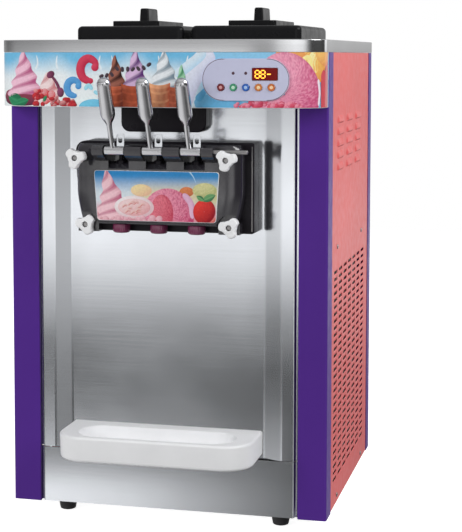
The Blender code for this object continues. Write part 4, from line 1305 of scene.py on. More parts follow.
BUTTONS = ("maroon", "green", "blue", "amber", "orange")
BUTTON_INKS = {
    "maroon": ((0.17, 0.012, 0.020), (0.62, 0.30, 0.30)),
    "green": ((0.05, 0.30, 0.16), (0.55, 0.80, 0.62)),
    "blue": ((0.03, 0.13, 0.50), (0.42, 0.60, 0.92)),
    "amber": ((0.60, 0.20, 0.05), (0.95, 0.72, 0.42)),
    "orange": ((0.62, 0.17, 0.04), (0.96, 0.68, 0.42)),
}


def button_place(colour):
    return centre_of(*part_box("button_" + colour), "xz")


def control_panel():
    """The lilac bezel, its outline, its display and its push buttons."""
    shape = bmesh.new()
    skin(shape, bowed_slab(panel_outline(0.0), 0.0, PANEL_THICK, 0.0012, 60))
    made = piece("bezel", shape, LILAC, replaces=["control_panel"], sharp=45)
    cuts = bmesh.new()
    for colour in BUTTONS:
        x, z = button_place(colour)
        skin(cuts, facing_disc(x, z, [(0.0061, -0.004), (0.0061, 0.010)]))
    pane_low, pane_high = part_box("display_window")
    rim = 0.0006
    opening = rounded_rect((pane_low.x - rim, pane_low.z - rim), (pane_high.x + rim, pane_high.z + rim),
                           0.002, 0.0, 4)
    skin(cuts, bowed_slab(opening, -0.003, 0.012, 0.0001, 14))
    carve(made, cuts)
    made.data.set_sharp_from_angle(angle=math.radians(45))

    shape = bmesh.new()
    loops = []
    for inset, lift in ((0.0004, 0.0034), (0.0009, 0.0041), (0.0015, 0.0041), (0.0016, 0.0036)):
        loops.append([bow_point(x, z, lift) for x, z in panel_outline(inset)])
    skin(shape, loops, closed=True)
    for x in (0.1324, 0.1519):
        skin(shape, facing_disc(x, z_at(0.7300), [(0.0024, 0.0036), (0.0024, 0.0041), (0.0017, 0.0044)], 20))
    piece("bezel_marks", shape, OUTLINE, sharp=35)

    inner = rounded_rect((pane_low.x, pane_low.z), (pane_high.x, pane_high.z), 0.002, 0.0, 4)
    shape = bmesh.new()
    skin(shape, bowed_slab(inner, 0.0003, 0.0034, 0.0004, 24))
    piece("pane", shape, WINDOW, replaces=["display_window"], sharp=45)

    for colour in BUTTONS:
        x, z = button_place(colour)
        name = "button_" + colour
        ring_colour, face_colour = BUTTON_INKS[colour]
        rim_look = moulded(name + "_rim", ring_colour, 0.30, 0.05)
        face_look = moulded(name + "_face", face_colour, 0.35, 0.05)
        shape = bmesh.new()
        profile = [(0.0056, 0.0018), (0.0057, 0.0050), (0.0055, 0.0057), (0.0050, 0.0061), (0.0044, 0.0061)]
        rings = facing_disc(x, z, profile)
        skin(shape, rings, caps=False)
        inner_rings = facing_disc(x, z, [(0.0044, 0.0061), (0.0041, 0.0057), (0.0027, 0.0057)])
        skin(shape, inner_rings, caps=False)
        dome = facing_disc(x, z, [(0.0027, 0.0057), (0.0024, 0.00585), (0.0016, 0.0060), (0.0006, 0.00605)])
        faces = skin(shape, dome, mark=1)
        faces[-2].material_index = 1
        base = facing_disc(x, z, [(0.0056, 0.0018)])[0]
        shape.faces.new([shape.verts.new(point) for point in base])
        piece(name + "_cap", shape, [rim_look, face_look], "push_" + colour, [name], sharp=35)

    seven_segments(pane_low, pane_high)


def seven_segments(pane_low, pane_high):
    """Lit figures behind the display glass: two eights and a dash."""
    shape = bmesh.new()
    wide = 0.0064
    tall = 0.0118
    thick = 0.0016
    middle = (pane_low.z + pane_high.z) / 2
    start = pane_low.x + 0.0048
    bars = []
    for digit in range(2):
        left = start + digit * 0.0086
        for level in (-tall / 2, 0.0, tall / 2):
            bars.append((left + thick * 0.6, left + wide - thick * 0.6, level - thick / 2, level + thick / 2))
        for side in (left, left + wide):
            for bottom in (-tall / 2 + thick * 0.6, thick * 0.6):
                bars.append((side - thick / 2, side + thick / 2, bottom, bottom + tall / 2 - thick * 1.2))
    left = start + 2 * 0.0090
    bars.append((left, left + wide * 0.9, -thick / 2, thick / 2))
    for x0, x1, z0, z1 in bars:
        corners = ((x0, z0), (x1, z0), (x1, z1), (x0, z1))
        rings = []
        for lift in (0.0034, 0.0036):
            rings.append([bow_point(x, middle + z, lift) for x, z in corners])
        skin(shape, rings)
    piece("display_figures", shape, LIT, sharp=30)


# ---------------------------------------------------------------- printed artwork


def blend(a, b, t):
    t = min(max(t, 0.0), 1.0)
    return tuple(p + (q - p) * t for p, q in zip(a, b))


class Artwork:
    """Flat print made of small coloured quads, each patch a hair above the one before."""

    def __init__(self, place, left, right, bottom, top):
        self.shape = bmesh.new()
        self.ink = self.shape.verts.layers.float_color.new("ink")
        self.place = place
        self.limits = (left, right, bottom, top)
        self.lift = 0.00012

    def patch(self, rows, step=0.000012):
        self.lift += step
        grid = []
        for row in rows:
            line = []
            for x, z, colour in row:
                vert = self.shape.verts.new((x, -self.lift, z))
                vert[self.ink] = (*colour, 1.0)
                line.append(vert)
            grid.append(line)
        for first, second in zip(grid, grid[1:]):
            for i in range(len(first) - 1):
                face = self.shape.faces.new((first[i], first[i + 1], second[i + 1], second[i]))
                face.normal_update()
                if face.normal.y > 0:
                    face.normal_flip()

    def grid(self, rows, columns, spot):
        """A patch whose points spot(i, j) gives, for column i and row j."""
        self.patch([[spot(i, j) for i in range(columns + 1)] for j in range(rows + 1)])

    def wash(self, colour, columns=200, rows=14):
        """A background over the whole print; colour is a function of x and height."""
        left, right, bottom, top = self.limits

        def spot(i, j):
            x = left + (right - left) * i / columns
            return x, bottom + (top - bottom) * j / rows, colour(x, j / rows)

        self.grid(rows, columns, spot)

    def ball(self, x, z, wide, tall, light, dark, rough=0.0, seed=1, rings=7, turn=0.0, step=0.000012):
        """A shaded round form, lit from the upper left, with an uneven surface."""
        noise = random.Random(seed)
        count = rings * 6
        rows = []
        for ring in range(rings + 1):
            size = max(ring / rings, 0.02)
            row = []
            for i in range(count + 1):
                angle = 2 * math.pi * (i % count) / count
                across = size * math.cos(angle)
                up = size * math.sin(angle)
                lit = 0.62 - 0.36 * across + 0.40 * up - 0.35 * size ** 5
                lit += rough * noise.uniform(-1.0, 1.0)
                right = wide * across
                high_up = tall * up
                spot = (right * math.cos(turn) - high_up * math.sin(turn),
                        right * math.sin(turn) + high_up * math.cos(turn))
                row.append((x + spot[0], z + spot[1], blend(dark, light, lit)))
            rows.append(row)
        self.patch(rows, step)

    def ribbon(self, points, width, light, dark, taper=(1.0, 1.0), swell=0.0):
        """A shaded stroke along a smooth line through the points; swell narrows both ends."""
        line = []
        for i in range(len(points) - 1):
            before = Vector(points[max(i - 1, 0)])
            here = Vector(points[i])
            there = Vector(points[i + 1])
            after = Vector(points[min(i + 2, len(points) - 1)])
            for step in range(8):
                t = step / 8
                a = here * 2 + (there - before) * t
                b = (before * 2 - here * 5 + there * 4 - after) * t ** 2
                c = (here * 3 - before - there * 3 + after) * t ** 3
                line.append((a + b + c) * 0.5)
        line.append(Vector(points[-1]))
        edges = [[], [], [], [], []]
        for i, point in enumerate(line):
            along = line[min(i + 1, len(line) - 1)] - line[max(i - 1, 0)]
            normal = Vector((-along.y, along.x)).normalized()
            share = i / (len(line) - 1)
            end = min(1.0, 4.5 * min(share, 1 - share) * len(points) / 4)
            half = width / 2 * (taper[0] + (taper[1] - taper[0]) * share)
            half *= max(1 - (1 - end) ** 2, 0.02) ** 0.5
            half *= 1 - swell * (1 - math.sin(math.pi * share))
            for row, offset in zip(edges, (-1.0, -0.5, 0.0, 0.5, 1.0)):
                spot = point + normal * half * offset
                lit = 0.6 + 0.35 * (normal.y * offset - normal.x * offset) - 0.25 * offset ** 2
                row.append((spot.x, spot.y, blend(dark, light, lit)))
        self.patch(edges)

    def swirl(self, x, bottom, top, wide, light, dark, turns=3.5, lean=0.0, power=0.85):
        """Soft ice drawn up to a point, with creases that wind round it."""
        def spot(i, j):
            u = -1 + 2 * i / 24
            v = j / 56
            body = math.sqrt(max(1 - u * u, 0.0))
            wind = turns * (1 - (1 - v) ** 1.25)
            swell = 1 + 0.13 * math.sin(2 * math.pi * (wind + 0.25 * math.copysign(1, u))) * abs(u)
            half = wide / 2 * (1 - v) ** power * swell + wide * 0.02
            height = bottom + (top - bottom) * v - 0.10 * (top - bottom) * (1 - v) * (1 - body)
            phase = (wind - 0.42 * u - 0.10 * u * u) % 1.0
            lit = 1.1 * math.sin(math.pi * phase) ** 1.1 - 0.30 * u - 0.25 * u ** 4
            lit += 0.10 * math.sin(9 * math.pi * phase)
            bend = lean * v ** 2 + 0.06 * wide * v * math.sin(5 * v)
            return x + bend + half * u, height, blend(dark, light, lit)

        self.grid(56, 24, spot)

    def wafer(self, x, top, bottom, wide_top, wide_bottom, light, dark):
        """A wafer cone with a rolled rim and bands that run round it."""
        def spot(i, j):
            u = -1 + 2 * i / 16
            v = j / 24
            half = (wide_bottom + (wide_top - wide_bottom) * v) / 2 * (1.06 if v > 0.82 else 1.0)
            band = 0.30 if j % 8 in (0, 1) else 0.0
            post = 0.10 * math.sin(math.pi * (i + (j // 8) * 2) / 2.5)
            lit = 0.55 - 0.30 * u - 0.35 * u ** 4 + band + post + (0.25 if v > 0.84 else 0.0)
            sag = 0.10 * (top - bottom) * (1 - u * u)
            return x + half * u, bottom + (top - bottom) * v - sag, blend(dark, light, lit)

        self.grid(24, 16, spot)

    def leaf(self, x, z, length, width, angle, light, dark):
        """A pointed leaf with a lighter middle vein."""
        turn = Matrix.Rotation(math.radians(angle), 2)

        def spot(i, j):
            u = i / 12
            v = -1 + 2 * j / 6
            point = turn @ Vector((length * (u - 0.5), width / 2 * v * math.sin(math.pi * u) ** 0.8))
            lit = 0.4 + 0.3 * v + (0.4 if j == 3 else 0.0)
            return x + point.x, z + point.y, blend(dark, light, lit)

        self.grid(6, 12, spot)

    def curl(self, x, z, wide, tall, width, light, dark):
        """A candy crescent, open to the right, with a round drop at its upper tip."""
        points = []
        for angle in (-62, -90, -135, 180, 135, 90, 45, 12):
            turned_by = math.radians(angle)
            points.append((x + wide * math.cos(turned_by), z + tall * math.sin(turned_by)))
        self.ribbon(points, width * 1.25, light, dark, (1.0, 1.0), 0.5)
        self.ball(x + wide * 0.72, z + tall * 0.22, width * 0.52, width * 0.52, light, dark)

    def crowd(self, seed, count, x_range, z_range, sizes, colours):
        """Small round bits strewn over an area."""
        noise = random.Random(seed)
        for i in range(count):
            size = noise.uniform(*sizes)
            x = noise.uniform(*x_range)
            z = noise.uniform(*z_range)
            light, dark = colours[i % len(colours)]
            tall = size * noise.uniform(0.6, 1.0)
            self.ball(x, z, size, tall, light, dark, 0.25, seed + i, 4, 0.0, 0.000003)

    def finish(self, name, covered=None):
        """Trim the print, drop what is covered, bend the rest onto the surface and make the piece."""
        left, right, bottom, top = self.limits
        for point, away in (((left, 0, 0), (-1, 0, 0)), ((right, 0, 0), (1, 0, 0)),
                            ((0, 0, bottom), (0, 0, -1)), ((0, 0, top), (0, 0, 1))):
            parts = self.shape.verts[:] + self.shape.edges[:] + self.shape.faces[:]
            bmesh.ops.bisect_plane(self.shape, geom=parts, dist=1e-7, plane_co=point, plane_no=away,
                                   clear_outer=True)
        if covered:
            hidden = [face for face in self.shape.faces
                      if all(covered(vert.co.x, vert.co.z) for vert in face.verts)]
            bmesh.ops.delete(self.shape, geom=hidden, context="FACES")
        for vert in self.shape.verts:
            vert.co = self.place(vert.co.x, vert.co.z, -vert.co.y)
        return piece(name, self.shape, PRINT, sharp=180)


WHITE_INK = (0.88, 0.92, 0.95)
SKY = (0.17, 0.52, 0.80)
WAVE_BLUE = (0.10, 0.42, 0.72)
RED = (0.66, 0.04, 0.05)
DARK_RED = (0.22, 0.01, 0.02)
PLUM = (0.10, 0.02, 0.05)
GREEN = (0.05, 0.36, 0.16)
DARK_GREEN = (0.01, 0.12, 0.06)
WAFER = (0.70, 0.17, 0.08)
DARK_WAFER = (0.22, 0.03, 0.015)
PALE_LILAC = (0.66, 0.68, 0.86)
YELLOW = (0.95, 0.80, 0.26)


def header_print():
    """A generic row of ices, fruit and sky on the bowed header."""
    edge = WRAP_START + WRAP_LENGTH + 0.018
    art = Artwork(lambda x, h, lift: wrap_point(x, FASCIA_LOW + h, lift), -edge, edge, 0.0010,
                  SKIRT - FASCIA_LOW - 0.0003)

    def sky(x, v):
        cloud = 0.07 * math.sin(41 * x) + 0.05 * math.sin(97 * x + 1.0)
        colour = blend((0.86, 0.93, 0.94), SKY, (v - 0.52 + cloud) / 0.42)
        colour = blend(colour, WHITE_INK, 0.8 * math.exp(-((v - 0.45) / 0.2) ** 2) * (x < 0.06))
        return blend(colour, (0.28, 0.60, 0.84), (x - 0.062) / 0.03)

    art.wash(sky)
    wisps = ((-0.199, 0.004), (-0.158, -0.003), (-0.083, -0.004), (-0.068, 0.004), (0.010, 0.003),
             (0.062, -0.004))
    for x, lean in wisps:
        art.ribbon([(x, 0.060), (x + lean, 0.070), (x + lean * 0.5, 0.083)], 0.005, WHITE_INK,
                   (0.70, 0.84, 0.92), (1.0, 0.3))

    # a pale wave and blue pools right of the middle
    art.ribbon([(0.046, -0.004), (0.056, 0.030), (0.070, 0.056), (0.098, 0.090)], 0.036, (0.80, 0.84, 0.94),
               PALE_LILAC)
    art.ribbon([(0.040, 0.050), (0.060, 0.066), (0.088, 0.088)], 0.016, (0.76, 0.86, 0.94),
               (0.50, 0.72, 0.90))
    art.ribbon([(0.072, 0.002), (0.088, 0.010), (0.110, 0.007), (0.150, 0.002)], 0.022, (0.20, 0.54, 0.82),
               WAVE_BLUE)
    art.ribbon([(0.074, 0.012), (0.084, 0.024), (0.092, 0.036)], 0.014, (0.14, 0.46, 0.76), WAVE_BLUE,
               (1.0, 0.3))

    # left: a large pink swirl above a leaf and dark fruit
    art.ribbon([(-0.262, 0.016), (-0.225, 0.014), (-0.195, 0.016)], 0.026, (0.34, 0.06, 0.10), PLUM)
    art.swirl(-0.2215, 0.020, 0.090, 0.066, (0.94, 0.58, 0.72), (0.50, 0.10, 0.24), 3.6, 0.003)
    art.leaf(-0.238, 0.010, 0.034, 0.022, 160, GREEN, DARK_GREEN)
    art.leaf(-0.226, 0.007, 0.028, 0.014, 15, GREEN, DARK_GREEN)

    # a sundae with berries and a spoon
    art.swirl(-0.176, 0.008, 0.056, 0.044, (0.92, 0.74, 0.74), (0.62, 0.22, 0.24), 2.2, 0.002, 0.6)
    art.crowd(4, 26, (-0.202, -0.168), (0.003, 0.026), (0.0035, 0.0070),
              ((RED, DARK_RED), ((0.80, 0.40, 0.42), RED)))
    art.crowd(5, 26, (-0.172, -0.130), (0.002, 0.013), (0.0030, 0.0060),
              ((RED, DARK_RED), ((0.78, 0.34, 0.34), DARK_RED)))
    art.leaf(-0.182, 0.013, 0.012, 0.006, 60, GREEN, DARK_GREEN)
    art.ribbon([(-0.171, 0.051), (-0.161, 0.039), (-0.155, 0.025)], 0.0050, (0.26, 0.06, 0.13), PLUM,
               (0.8, 1.2))
    art.ball(-0.1715, 0.0520, 0.0072, 0.0056, (0.24, 0.05, 0.12), PLUM, turn=0.5)
    art.ball(-0.154, 0.0235, 0.0060, 0.0078, (0.30, 0.07, 0.16), PLUM)

    # candy curls and drops of cool blue
    art.curl(-0.131, 0.031, 0.0115, 0.0125, 0.0100, (0.14, 0.42, 0.76), (0.05, 0.24, 0.58))
    art.curl(-0.1045, 0.060, 0.0145, 0.0178, 0.0120, (0.72, 0.07, 0.13), (0.48, 0.01, 0.05))
    art.ribbon([(-0.112, 0.028), (-0.105, 0.035), (-0.099, 0.028)], 0.007, (0.46, 0.80, 0.90),
               (0.26, 0.66, 0.84))
    art.ribbon([(-0.096, 0.026), (-0.088, 0.021)], 0.006, (0.46, 0.80, 0.90), (0.26, 0.66, 0.84))
    art.ball(-0.096, 0.000, 0.026, 0.013, (0.20, 0.62, 0.84), (0.10, 0.44, 0.72))

    # four ices above wafer cones, strewn with chocolate chips
    art.swirl(-0.060, 0.028, 0.083, 0.036, (0.36, 0.13, 0.09), (0.02, 0.004, 0.004), 2.6, 0.002)
    art.swirl(-0.028, 0.028, 0.092, 0.046, (0.74, 0.52, 0.76), (0.11, 0.03, 0.17), 2.8, 0.005)
    art.swirl(0.048, 0.022, 0.068, 0.026, (0.40, 0.72, 0.48), (0.04, 0.24, 0.10), 2.6, 0.003)
    art.swirl(0.020, 0.028, 0.090, 0.052, (0.86, 0.90, 0.93), (0.20, 0.27, 0.33), 3.2, 0.004)
    art.wafer(-0.062, 0.037, -0.002, 0.036, 0.030, WAFER, DARK_WAFER)
    art.wafer(-0.030, 0.038, -0.002, 0.038, 0.034, (0.60, 0.12, 0.05), DARK_WAFER)
    art.wafer(0.038, 0.036, -0.002, 0.028, 0.026, (0.50, 0.12, 0.06), (0.16, 0.02, 0.012))
    art.wafer(0.013, 0.040, -0.002, 0.034, 0.032, (0.92, 0.46, 0.24), (0.48, 0.08, 0.035))
    chips = random.Random(8)
    for i in range(10):
        x = -0.083 + i * 0.0088
        z = 0.052 + 0.017 * i / 9 + chips.uniform(-0.004, 0.004)
        lean = chips.uniform(-1.2, 1.2)
        across = 0.0042 * math.sin(lean)
        up = 0.0042 * math.cos(lean)
        art.ribbon([(x - across, z - up), (x + across, z + up)], 0.0052, (0.10, 0.07, 0.09),
                   (0.02, 0.012, 0.02))

    # right: a big grainy scoop, fruit, red sauce and a painted highlight on the corner
    art.ball(0.258, 0.070, 0.020, 0.030, (0.96, 0.62, 0.16), (0.82, 0.34, 0.08), 0.10, 11, 8)
    art.ball(0.232, 0.088, 0.034, 0.015, (0.92, 0.48, 0.14), (0.78, 0.24, 0.08), 0.10, 12, 8)
    art.ribbon([(0.258, 0.090), (0.252, 0.072), (0.254, 0.054)], 0.014, (0.98, 0.92, 0.50),
               (0.93, 0.70, 0.22))
    art.ribbon([(0.236, 0.073), (0.246, 0.080), (0.250, 0.064)], 0.007, (0.98, 0.86, 0.40), YELLOW)
    art.ribbon([(0.274, -0.020), (0.2745, 0.025), (0.273, 0.060)], 0.018, (0.74, 0.12, 0.14),
               (0.52, 0.03, 0.06))
    art.ribbon([(0.286, -0.020), (0.287, 0.045), (0.284, 0.110)], 0.016, (0.70, 0.20, 0.20),
               (0.52, 0.06, 0.08))
    art.ball(0.276, 0.088, 0.020, 0.022, (0.95, 0.62, 0.18), (0.80, 0.30, 0.10), 0.10, 15, 8)
    art.ball(0.211, 0.022, 0.0520, 0.0660, (0.92, 0.42, 0.55), (0.60, 0.08, 0.21), 0.36, 13, 26)
    # a pale stripe where the header turns the corner: a painted highlight of the bend
    art.ribbon([(0.2605, 0.004), (0.2625, 0.024), (0.2600, 0.046)], 0.0035, (0.94, 0.90, 0.95),
               (0.84, 0.66, 0.78))
    art.crowd(14, 70, (0.136, 0.240), (0.0005, 0.0090), (0.0022, 0.0050),
              (((0.80, 0.12, 0.20), (0.46, 0.02, 0.06)),
              ((0.90, 0.36, 0.46), (0.62, 0.05, 0.14))))

    def behind_bezel(x, h):
        bezel_low, bezel_high = PANEL_EDGES
        turn = (bezel_high[1] - bezel_low[1]) / 2
        across = max(bezel_low[0] + turn - x, x - bezel_high[0] + turn, 0.0)
        up = FASCIA_LOW + h - (bezel_low[1] + bezel_high[1]) / 2
        return math.hypot(across, up) < turn - 0.003

    art.finish("header_print", behind_bezel)


def door_print():
    """A generic print of an ice, a plate of fruit, a scoop and a berry on the head's plate."""
    near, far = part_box("decal_plate")
    middle = (near.x + far.x) / 2
    wide = far.x - near.x
    tall = far.z - near.z

    def narrow(x, height):
        return middle + x * (1 - 0.052 * (1 - height / tall))

    plate = []
    for x, z in rounded_rect((near.x, near.z), (far.x, far.z), 0.005, 0.0, 8):
        plate.append((narrow(x - middle, z - near.z), z))
    rings = [on_y(plate, far.y), on_y(plate, near.y + 0.0004)]
    rings.append([(middle + (x - middle) * 0.9975, near.y,
                   z + (0.0002 if z < near.z + tall / 2 else -0.0002)) for x, z in plate])
    piece("decal_base", solid(rings), WHITE, replaces=["decal_plate"], sharp=30)

    half = wide / 2 - 0.0009
    corner = 0.0045

    def place(x, h, lift):
        over = max(corner - (half - abs(x)), 0.0)
        over_z = max(corner - min(h - 0.0007, tall - 0.0007 - h), 0.0)
        outside = math.hypot(over, over_z) / corner
        if outside > 1:
            x -= math.copysign(over * (1 - 1 / outside), x)
            h += math.copysign(over_z * (1 - 1 / outside), tall / 2 - h)
        return Vector((narrow(x, h), near.y - lift, near.z + h))

    art = Artwork(place, -half, half, 0.0007, tall - 0.0007)
    noise = random.Random(21)

    def backdrop(x, v):
        colour = blend((0.74, 0.82, 0.88), (0.03, 0.27, 0.62), (v - 0.56) / 0.34)
        glow = math.exp(-((v - 0.52) / 0.20) ** 2)
        colour = blend(colour, (0.82, 0.66, 0.32), 0.75 * glow * min(max((x + 0.045) / 0.03, 0.0), 1.0))
        colour = blend(colour, (0.52, 0.52, 0.22), 0.6 * glow * min(max((x - 0.060) / 0.02, 0.0), 1.0))
        colour = blend(colour, (0.78, 0.34, 0.40), (0.40 - v) / 0.22)
        return blend(colour, (0, 0, 0), noise.uniform(0.0, 0.06))

    art.wash(backdrop, 60, 26)
    art.ribbon([(0.054, 0.083), (0.062, 0.074), (0.068, 0.062)], 0.003, (0.60, 0.78, 0.90),
               (0.30, 0.54, 0.78), (1.0, 0.2))
    art.ball(-0.025, 0.050, 0.018, 0.010, (0.94, 0.78, 0.42), (0.84, 0.52, 0.34), 0.2, 36, 8)
    art.ball(0.052, 0.049, 0.012, 0.008, (0.80, 0.26, 0.10), (0.56, 0.16, 0.06), 0.3, 31, 8)
    art.ball(0.082, 0.052, 0.020, 0.012, (0.74, 0.70, 0.36), (0.46, 0.48, 0.20), 0.3, 32, 8)
    art.swirl(-0.076, 0.000, 0.082, 0.066, (0.95, 0.62, 0.68), (0.55, 0.14, 0.24), 4.2, -0.004)
    art.ball(0.020, 0.004, 0.046, 0.050, (0.88, 0.34, 0.46), (0.54, 0.05, 0.15), 0.42, 33, 26)
    art.ball(0.010, 0.012, 0.020, 0.032, (0.80, 0.20, 0.26), (0.56, 0.05, 0.10), 0.5, 37, 14)
    art.ribbon([(0.046, 0.046), (0.060, 0.030), (0.064, 0.006)], 0.010, (0.90, 0.64, 0.80),
               (0.62, 0.26, 0.46))
    art.ball(-0.038, 0.0225, 0.0345, 0.0185, (0.96, 0.90, 0.91), (0.80, 0.56, 0.60))
    art.ball(-0.038, 0.0225, 0.0285, 0.0140, (0.93, 0.72, 0.72), (0.80, 0.40, 0.42), 0.15, 34)
    for i in range(11):
        angle = 2 * math.pi * i / 11
        x = -0.038 + 0.017 * math.cos(angle) * (0.5 + 0.5 * (i % 2))
        h = 0.0225 + 0.0080 * math.sin(angle)
        art.ribbon([(x - 0.005, h - 0.003), (x, h + 0.001), (x + 0.005, h)], 0.0040, (0.93, 0.74, 0.70),
                   (0.66, 0.14, 0.14))
    art.crowd(50, 24, (-0.098, 0.010), (0.0005, 0.0060), (0.003, 0.006),
              (((0.90, 0.56, 0.62), (0.70, 0.26, 0.34)),))
    art.crowd(51, 10, (0.070, 0.104), (0.0005, 0.0050), (0.003, 0.006),
              (((0.86, 0.30, 0.26), (0.60, 0.06, 0.06)),))
    art.ball(0.0835, 0.0180, 0.0190, 0.0200, (0.80, 0.05, 0.04), (0.28, 0.0, 0.01), 0.10, 35, 10)
    art.leaf(0.0900, 0.0400, 0.024, 0.012, 25, (0.24, 0.50, 0.20), DARK_GREEN)
    art.leaf(0.0760, 0.0390, 0.016, 0.008, 150, (0.24, 0.50, 0.20), DARK_GREEN)
    art.finish("door_print")


# ---------------------------------------------------------------- inner pieces kept as the frame has them

KEPT = {
    "chassis_base": ZINC, "machine_shelf": ZINC, "hopper_left": TUB_STEEL, "hopper_right": TUB_STEEL,
    "cylinder_left": TUB_STEEL, "cylinder_right": TUB_STEEL, "air_tube_left": WHITE, "air_tube_right": WHITE,
    "beater_left": WHITE, "beater_right": WHITE, "gear_motor_left": DARK, "gear_motor_right": DARK,
    "compressor": DARK, "condenser": FINS, "fan": DARK, "fan_motor": DARK,
}


def finish_kept_nodes():
    for name, look in KEPT.items():
        node = frame["nodes"][name]
        node.data.materials.clear()
        node.data.materials.append(look)
        node.data.shade_smooth()
        node.data.set_sharp_from_angle(angle=math.radians(35))


# ---------------------------------------------------------------- floor, camera and light


def stage():
    """A plain white floor round the machine; it glows a little, so that only contact shadows show."""
    shape = bmesh.new()
    outline = rounded_rect((-2.6, -1.15), (3.2, 4.2), 0.2)
    shape.faces.new([shape.verts.new((x, y, 0.0)) for x, y in outline])
    mesh = mesh_from("floor", shape)
    paint = Look("floor_paint", (0.80, 0.80, 0.80), 0.7, 0.0,
                 {"Emission Color": (1, 1, 1, 1), "Emission Strength": 0.85})
    paint.shade(0.01, paint.noise(2.0))
    mesh.materials.append(paint.material)
    floor = placed("floor", mesh)
    floor.visible_diffuse = False
    floor.visible_glossy = False


CAMERA_YAW = 0.2457
CAMERA_PITCH = 0.0782
CAMERA_PLACE = (0.6633, -2.5819, 0.7783)
LENS = 102.53
SENSOR = 36.0
LENS_SHIFT = (0.0530, -0.1709)


def camera():
    """Eye level just under the deck, to the right of the machine, on a long lens."""
    yaw = CAMERA_YAW
    pitch = CAMERA_PITCH
    ahead = Vector((-math.sin(yaw) * math.cos(pitch), math.cos(yaw) * math.cos(pitch), -math.sin(pitch)))
    right = Vector((math.cos(yaw), math.sin(yaw), 0.0))
    up = right.cross(ahead)
    data = bpy.data.cameras.new("camera")
    data.sensor_width = SENSOR
    data.lens = LENS
    data.shift_x, data.shift_y = LENS_SHIFT
    data.dof.use_dof = False
    made = placed("camera", data)
    turn = Matrix((right, up, -ahead)).transposed().to_4x4()
    made.matrix_world = Matrix.Translation(Vector(CAMERA_PLACE)) @ turn
    bpy.context.scene.camera = made


def area_light(name, place, target, size, power, mirrored=True):
    data = bpy.data.lights.new(name, "AREA")
    data.shape = "RECTANGLE"
    data.size, data.size_y = size
    data.energy = power
    made = placed(name, data)
    made.visible_glossy = mirrored
    made.location = place
    aim = Vector(target) - Vector(place)
    made.rotation_euler = aim.to_track_quat("-Z", "Y").to_euler()


def ramp_node(tree, value, stops):
    """Brightness along a value from -1 to 1: stops are (value, brightness) pairs."""
    level = tree.nodes.new("ShaderNodeMapRange")
    level.inputs["From Min"].default_value = -1.0
    level.inputs["From Max"].default_value = 1.0
    tree.links.new(value, level.inputs["Value"])
    ramp = tree.nodes.new("ShaderNodeValToRGB")
    tree.links.new(level.outputs["Result"], ramp.inputs["Fac"])
    elements = ramp.color_ramp.elements
    while len(elements) < len(stops):
        elements.new(0.5)
    for element, (place, brightness) in zip(elements, stops):
        element.position = (place + 1.0) / 2.0
        element.color = (brightness, brightness, brightness, 1.0)
    return ramp.outputs["Color"]


def mixed(tree, kind, factor, first, second):
    """A colour mix whose inputs are sockets or plain values."""
    node = tree.nodes.new("ShaderNodeMix")
    node.data_type = "RGBA"
    node.blend_type = kind
    for key, value in (("Factor", factor), ("A", first), ("B", second)):
        if isinstance(value, bpy.types.NodeSocket):
            tree.links.new(value, node.inputs[key])
        elif key == "Factor":
            node.inputs[key].default_value = value
        else:
            node.inputs[key].default_value = (value, value, value, 1.0)
    return node.outputs["Result"]


# brightness of the room as the metal mirrors it: by height, then across; to the right the heights differ,
# and low down, deep down and high up the values across differ
ROOM_HEIGHT = [(-1.0, 0.55), (-0.45, 0.50), (-0.34, 0.80), (-0.29, 1.20), (-0.26, 0.50), (-0.24, 0.0),
               (-0.172, 0.0), (-0.160, 0.65), (-0.148, 1.05), (-0.120, 1.80), (-0.090, 2.2), (-0.06, 1.15),
               (-0.03, 0.75), (0.03, 0.40), (0.10, 0.50), (0.45, 0.9), (1.0, 0.8)]
ROOM_RIGHT = [(-1.0, 0.40), (-0.55, 0.40), (-0.45, 0.85), (-0.30, 0.75), (-0.24, 0.15), (-0.20, 0.22),
              (-0.17, 0.45), (-0.145, 0.78), (-0.120, 0.86), (-0.090, 0.66), (-0.06, 0.40), (-0.03, 0.26),
              (0.03, 0.58), (0.10, 0.58), (0.45, 0.9), (1.0, 0.8)]
ROOM_ACROSS = [(-1.0, 0.35), (-0.93, 0.58), (-0.66, 0.66), (-0.60, 0.76), (-0.38, 0.92), (-0.18, 1.0),
               (0.17, 1.0), (0.26, 2.1), (0.45, 2.8), (0.62, 2.5), (0.74, 0.5), (0.82, 0.12), (1.0, 0.15)]
ROOM_LOW = [(-1.0, 0.8), (-0.42, 1.0), (-0.34, 1.80), (-0.29, 1.45), (-0.23, 0.70), (-0.17, 0.0),
            (-0.08, 0.02), (0.04, 0.80), (0.60, 0.90), (0.80, 0.75), (1.0, 0.6)]
ROOM_DEEP = [(-1.0, 1.2), (-0.75, 1.8), (-0.3, 1.6), (0.0, 0.95), (0.35, 0.65), (0.6, 0.28), (1.0, 0.35)]
ROOM_HIGH = [(-1.0, 0.50), (-0.30, 0.68), (0.30, 0.72), (1.0, 0.55)]
ROOM_MATT = [(-1.0, 0.44), (-0.1, 0.44), (0.15, 0.12), (1.0, 0.10)]


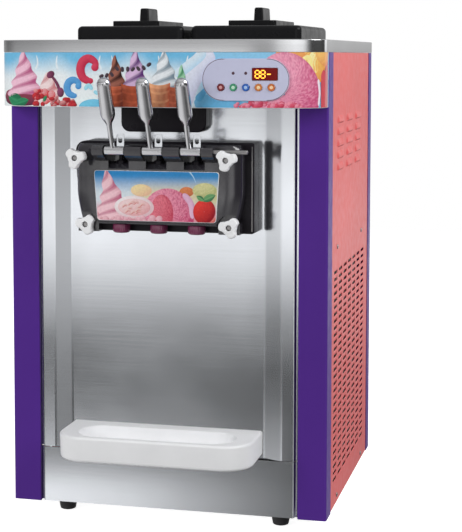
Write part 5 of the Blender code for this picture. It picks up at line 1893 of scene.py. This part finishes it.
def world():
    """White to the eye, an uneven room to mirrors and plain dim light to matt surfaces."""
    made = bpy.data.worlds.new("studio")
    bpy.context.scene.world = made
    made.use_nodes = True
    tree = made.node_tree
    background = tree.nodes["Background"]
    direction = tree.nodes.new("ShaderNodeTexCoord")
    parts = tree.nodes.new("ShaderNodeSeparateXYZ")
    tree.links.new(direction.outputs["Generated"], parts.inputs["Vector"])

    def up(*stops):
        return ramp_node(tree, parts.outputs["Z"], stops)

    def across(*stops):
        return ramp_node(tree, parts.outputs["X"], stops)

    height = mixed(tree, "MIX", across((0.0, 0.0), (0.07, 1.0)), up(*ROOM_HEIGHT), up(*ROOM_RIGHT))
    width = mixed(tree, "MIX", up((-0.26, 1.0), (-0.21, 0.0)), across(*ROOM_ACROSS), across(*ROOM_LOW))
    width = mixed(tree, "MIX", up((-0.50, 1.0), (-0.42, 0.0)), width, across(*ROOM_DEEP))
    width = mixed(tree, "MIX", up((0.14, 0.0), (0.24, 1.0)), width, across(*ROOM_HIGH))
    room = mixed(tree, "MULTIPLY", 1.0, height, width)
    rays = tree.nodes.new("ShaderNodeLightPath")
    matt = mixed(tree, "MIX", rays.outputs["Is Glossy Ray"], up(*ROOM_MATT), room)
    seen = mixed(tree, "MIX", rays.outputs["Is Camera Ray"], matt, 1.0)
    tree.links.new(seen, background.inputs["Color"])


def lights():
    area_light("key", (-1.6, -2.8, 1.5), (0.0, 0.0, 0.3), (1.6, 1.6), 57.0, False)
    area_light("top", (0.0, -0.4, 2.6), (0.0, 0.0, 0.0), (2.2, 2.2), 3.0)
    area_light("side", (2.3, -0.5, 2.0), (0.2, 0.1, 0.5), (1.6, 1.4), 50.0)
    area_light("back", (-0.8, 2.6, 2.0), (0.0, 0.2, 0.4), (1.6, 1.2), 30.0, False)


def even_shading():
    """Keep flat faces flat where they meet rolled edges."""
    for made in MADE:
        step = made.modifiers.new("even_shading", "WEIGHTED_NORMAL")
        step.keep_sharp = True


# ---------------------------------------------------------------- build

for post in ("front_left", "front_right", "rear_left", "rear_right"):
    column("column_" + post)
for side_key in SIDES:
    side_panel(side_key)
    lid(side_key)
    hand_nut("top", side_key)
    hand_nut("low", side_key)
back_panel()
front_sheets()
top_cover()
header()
header_print()
control_panel()
feet()
cable_gland()
head_backing()
freezer_door()
door_print()
pivot_pin()
switch_cover()
for valve_key in VALVES:
    nozzle_cap(valve_key)
    lever(valve_key)
    valve(valve_key)
drip_tray()
finish_kept_nodes()
even_shading()
stage()
camera()
world()
lights()
bpy.context.scene.view_settings.view_transform = "Standard"
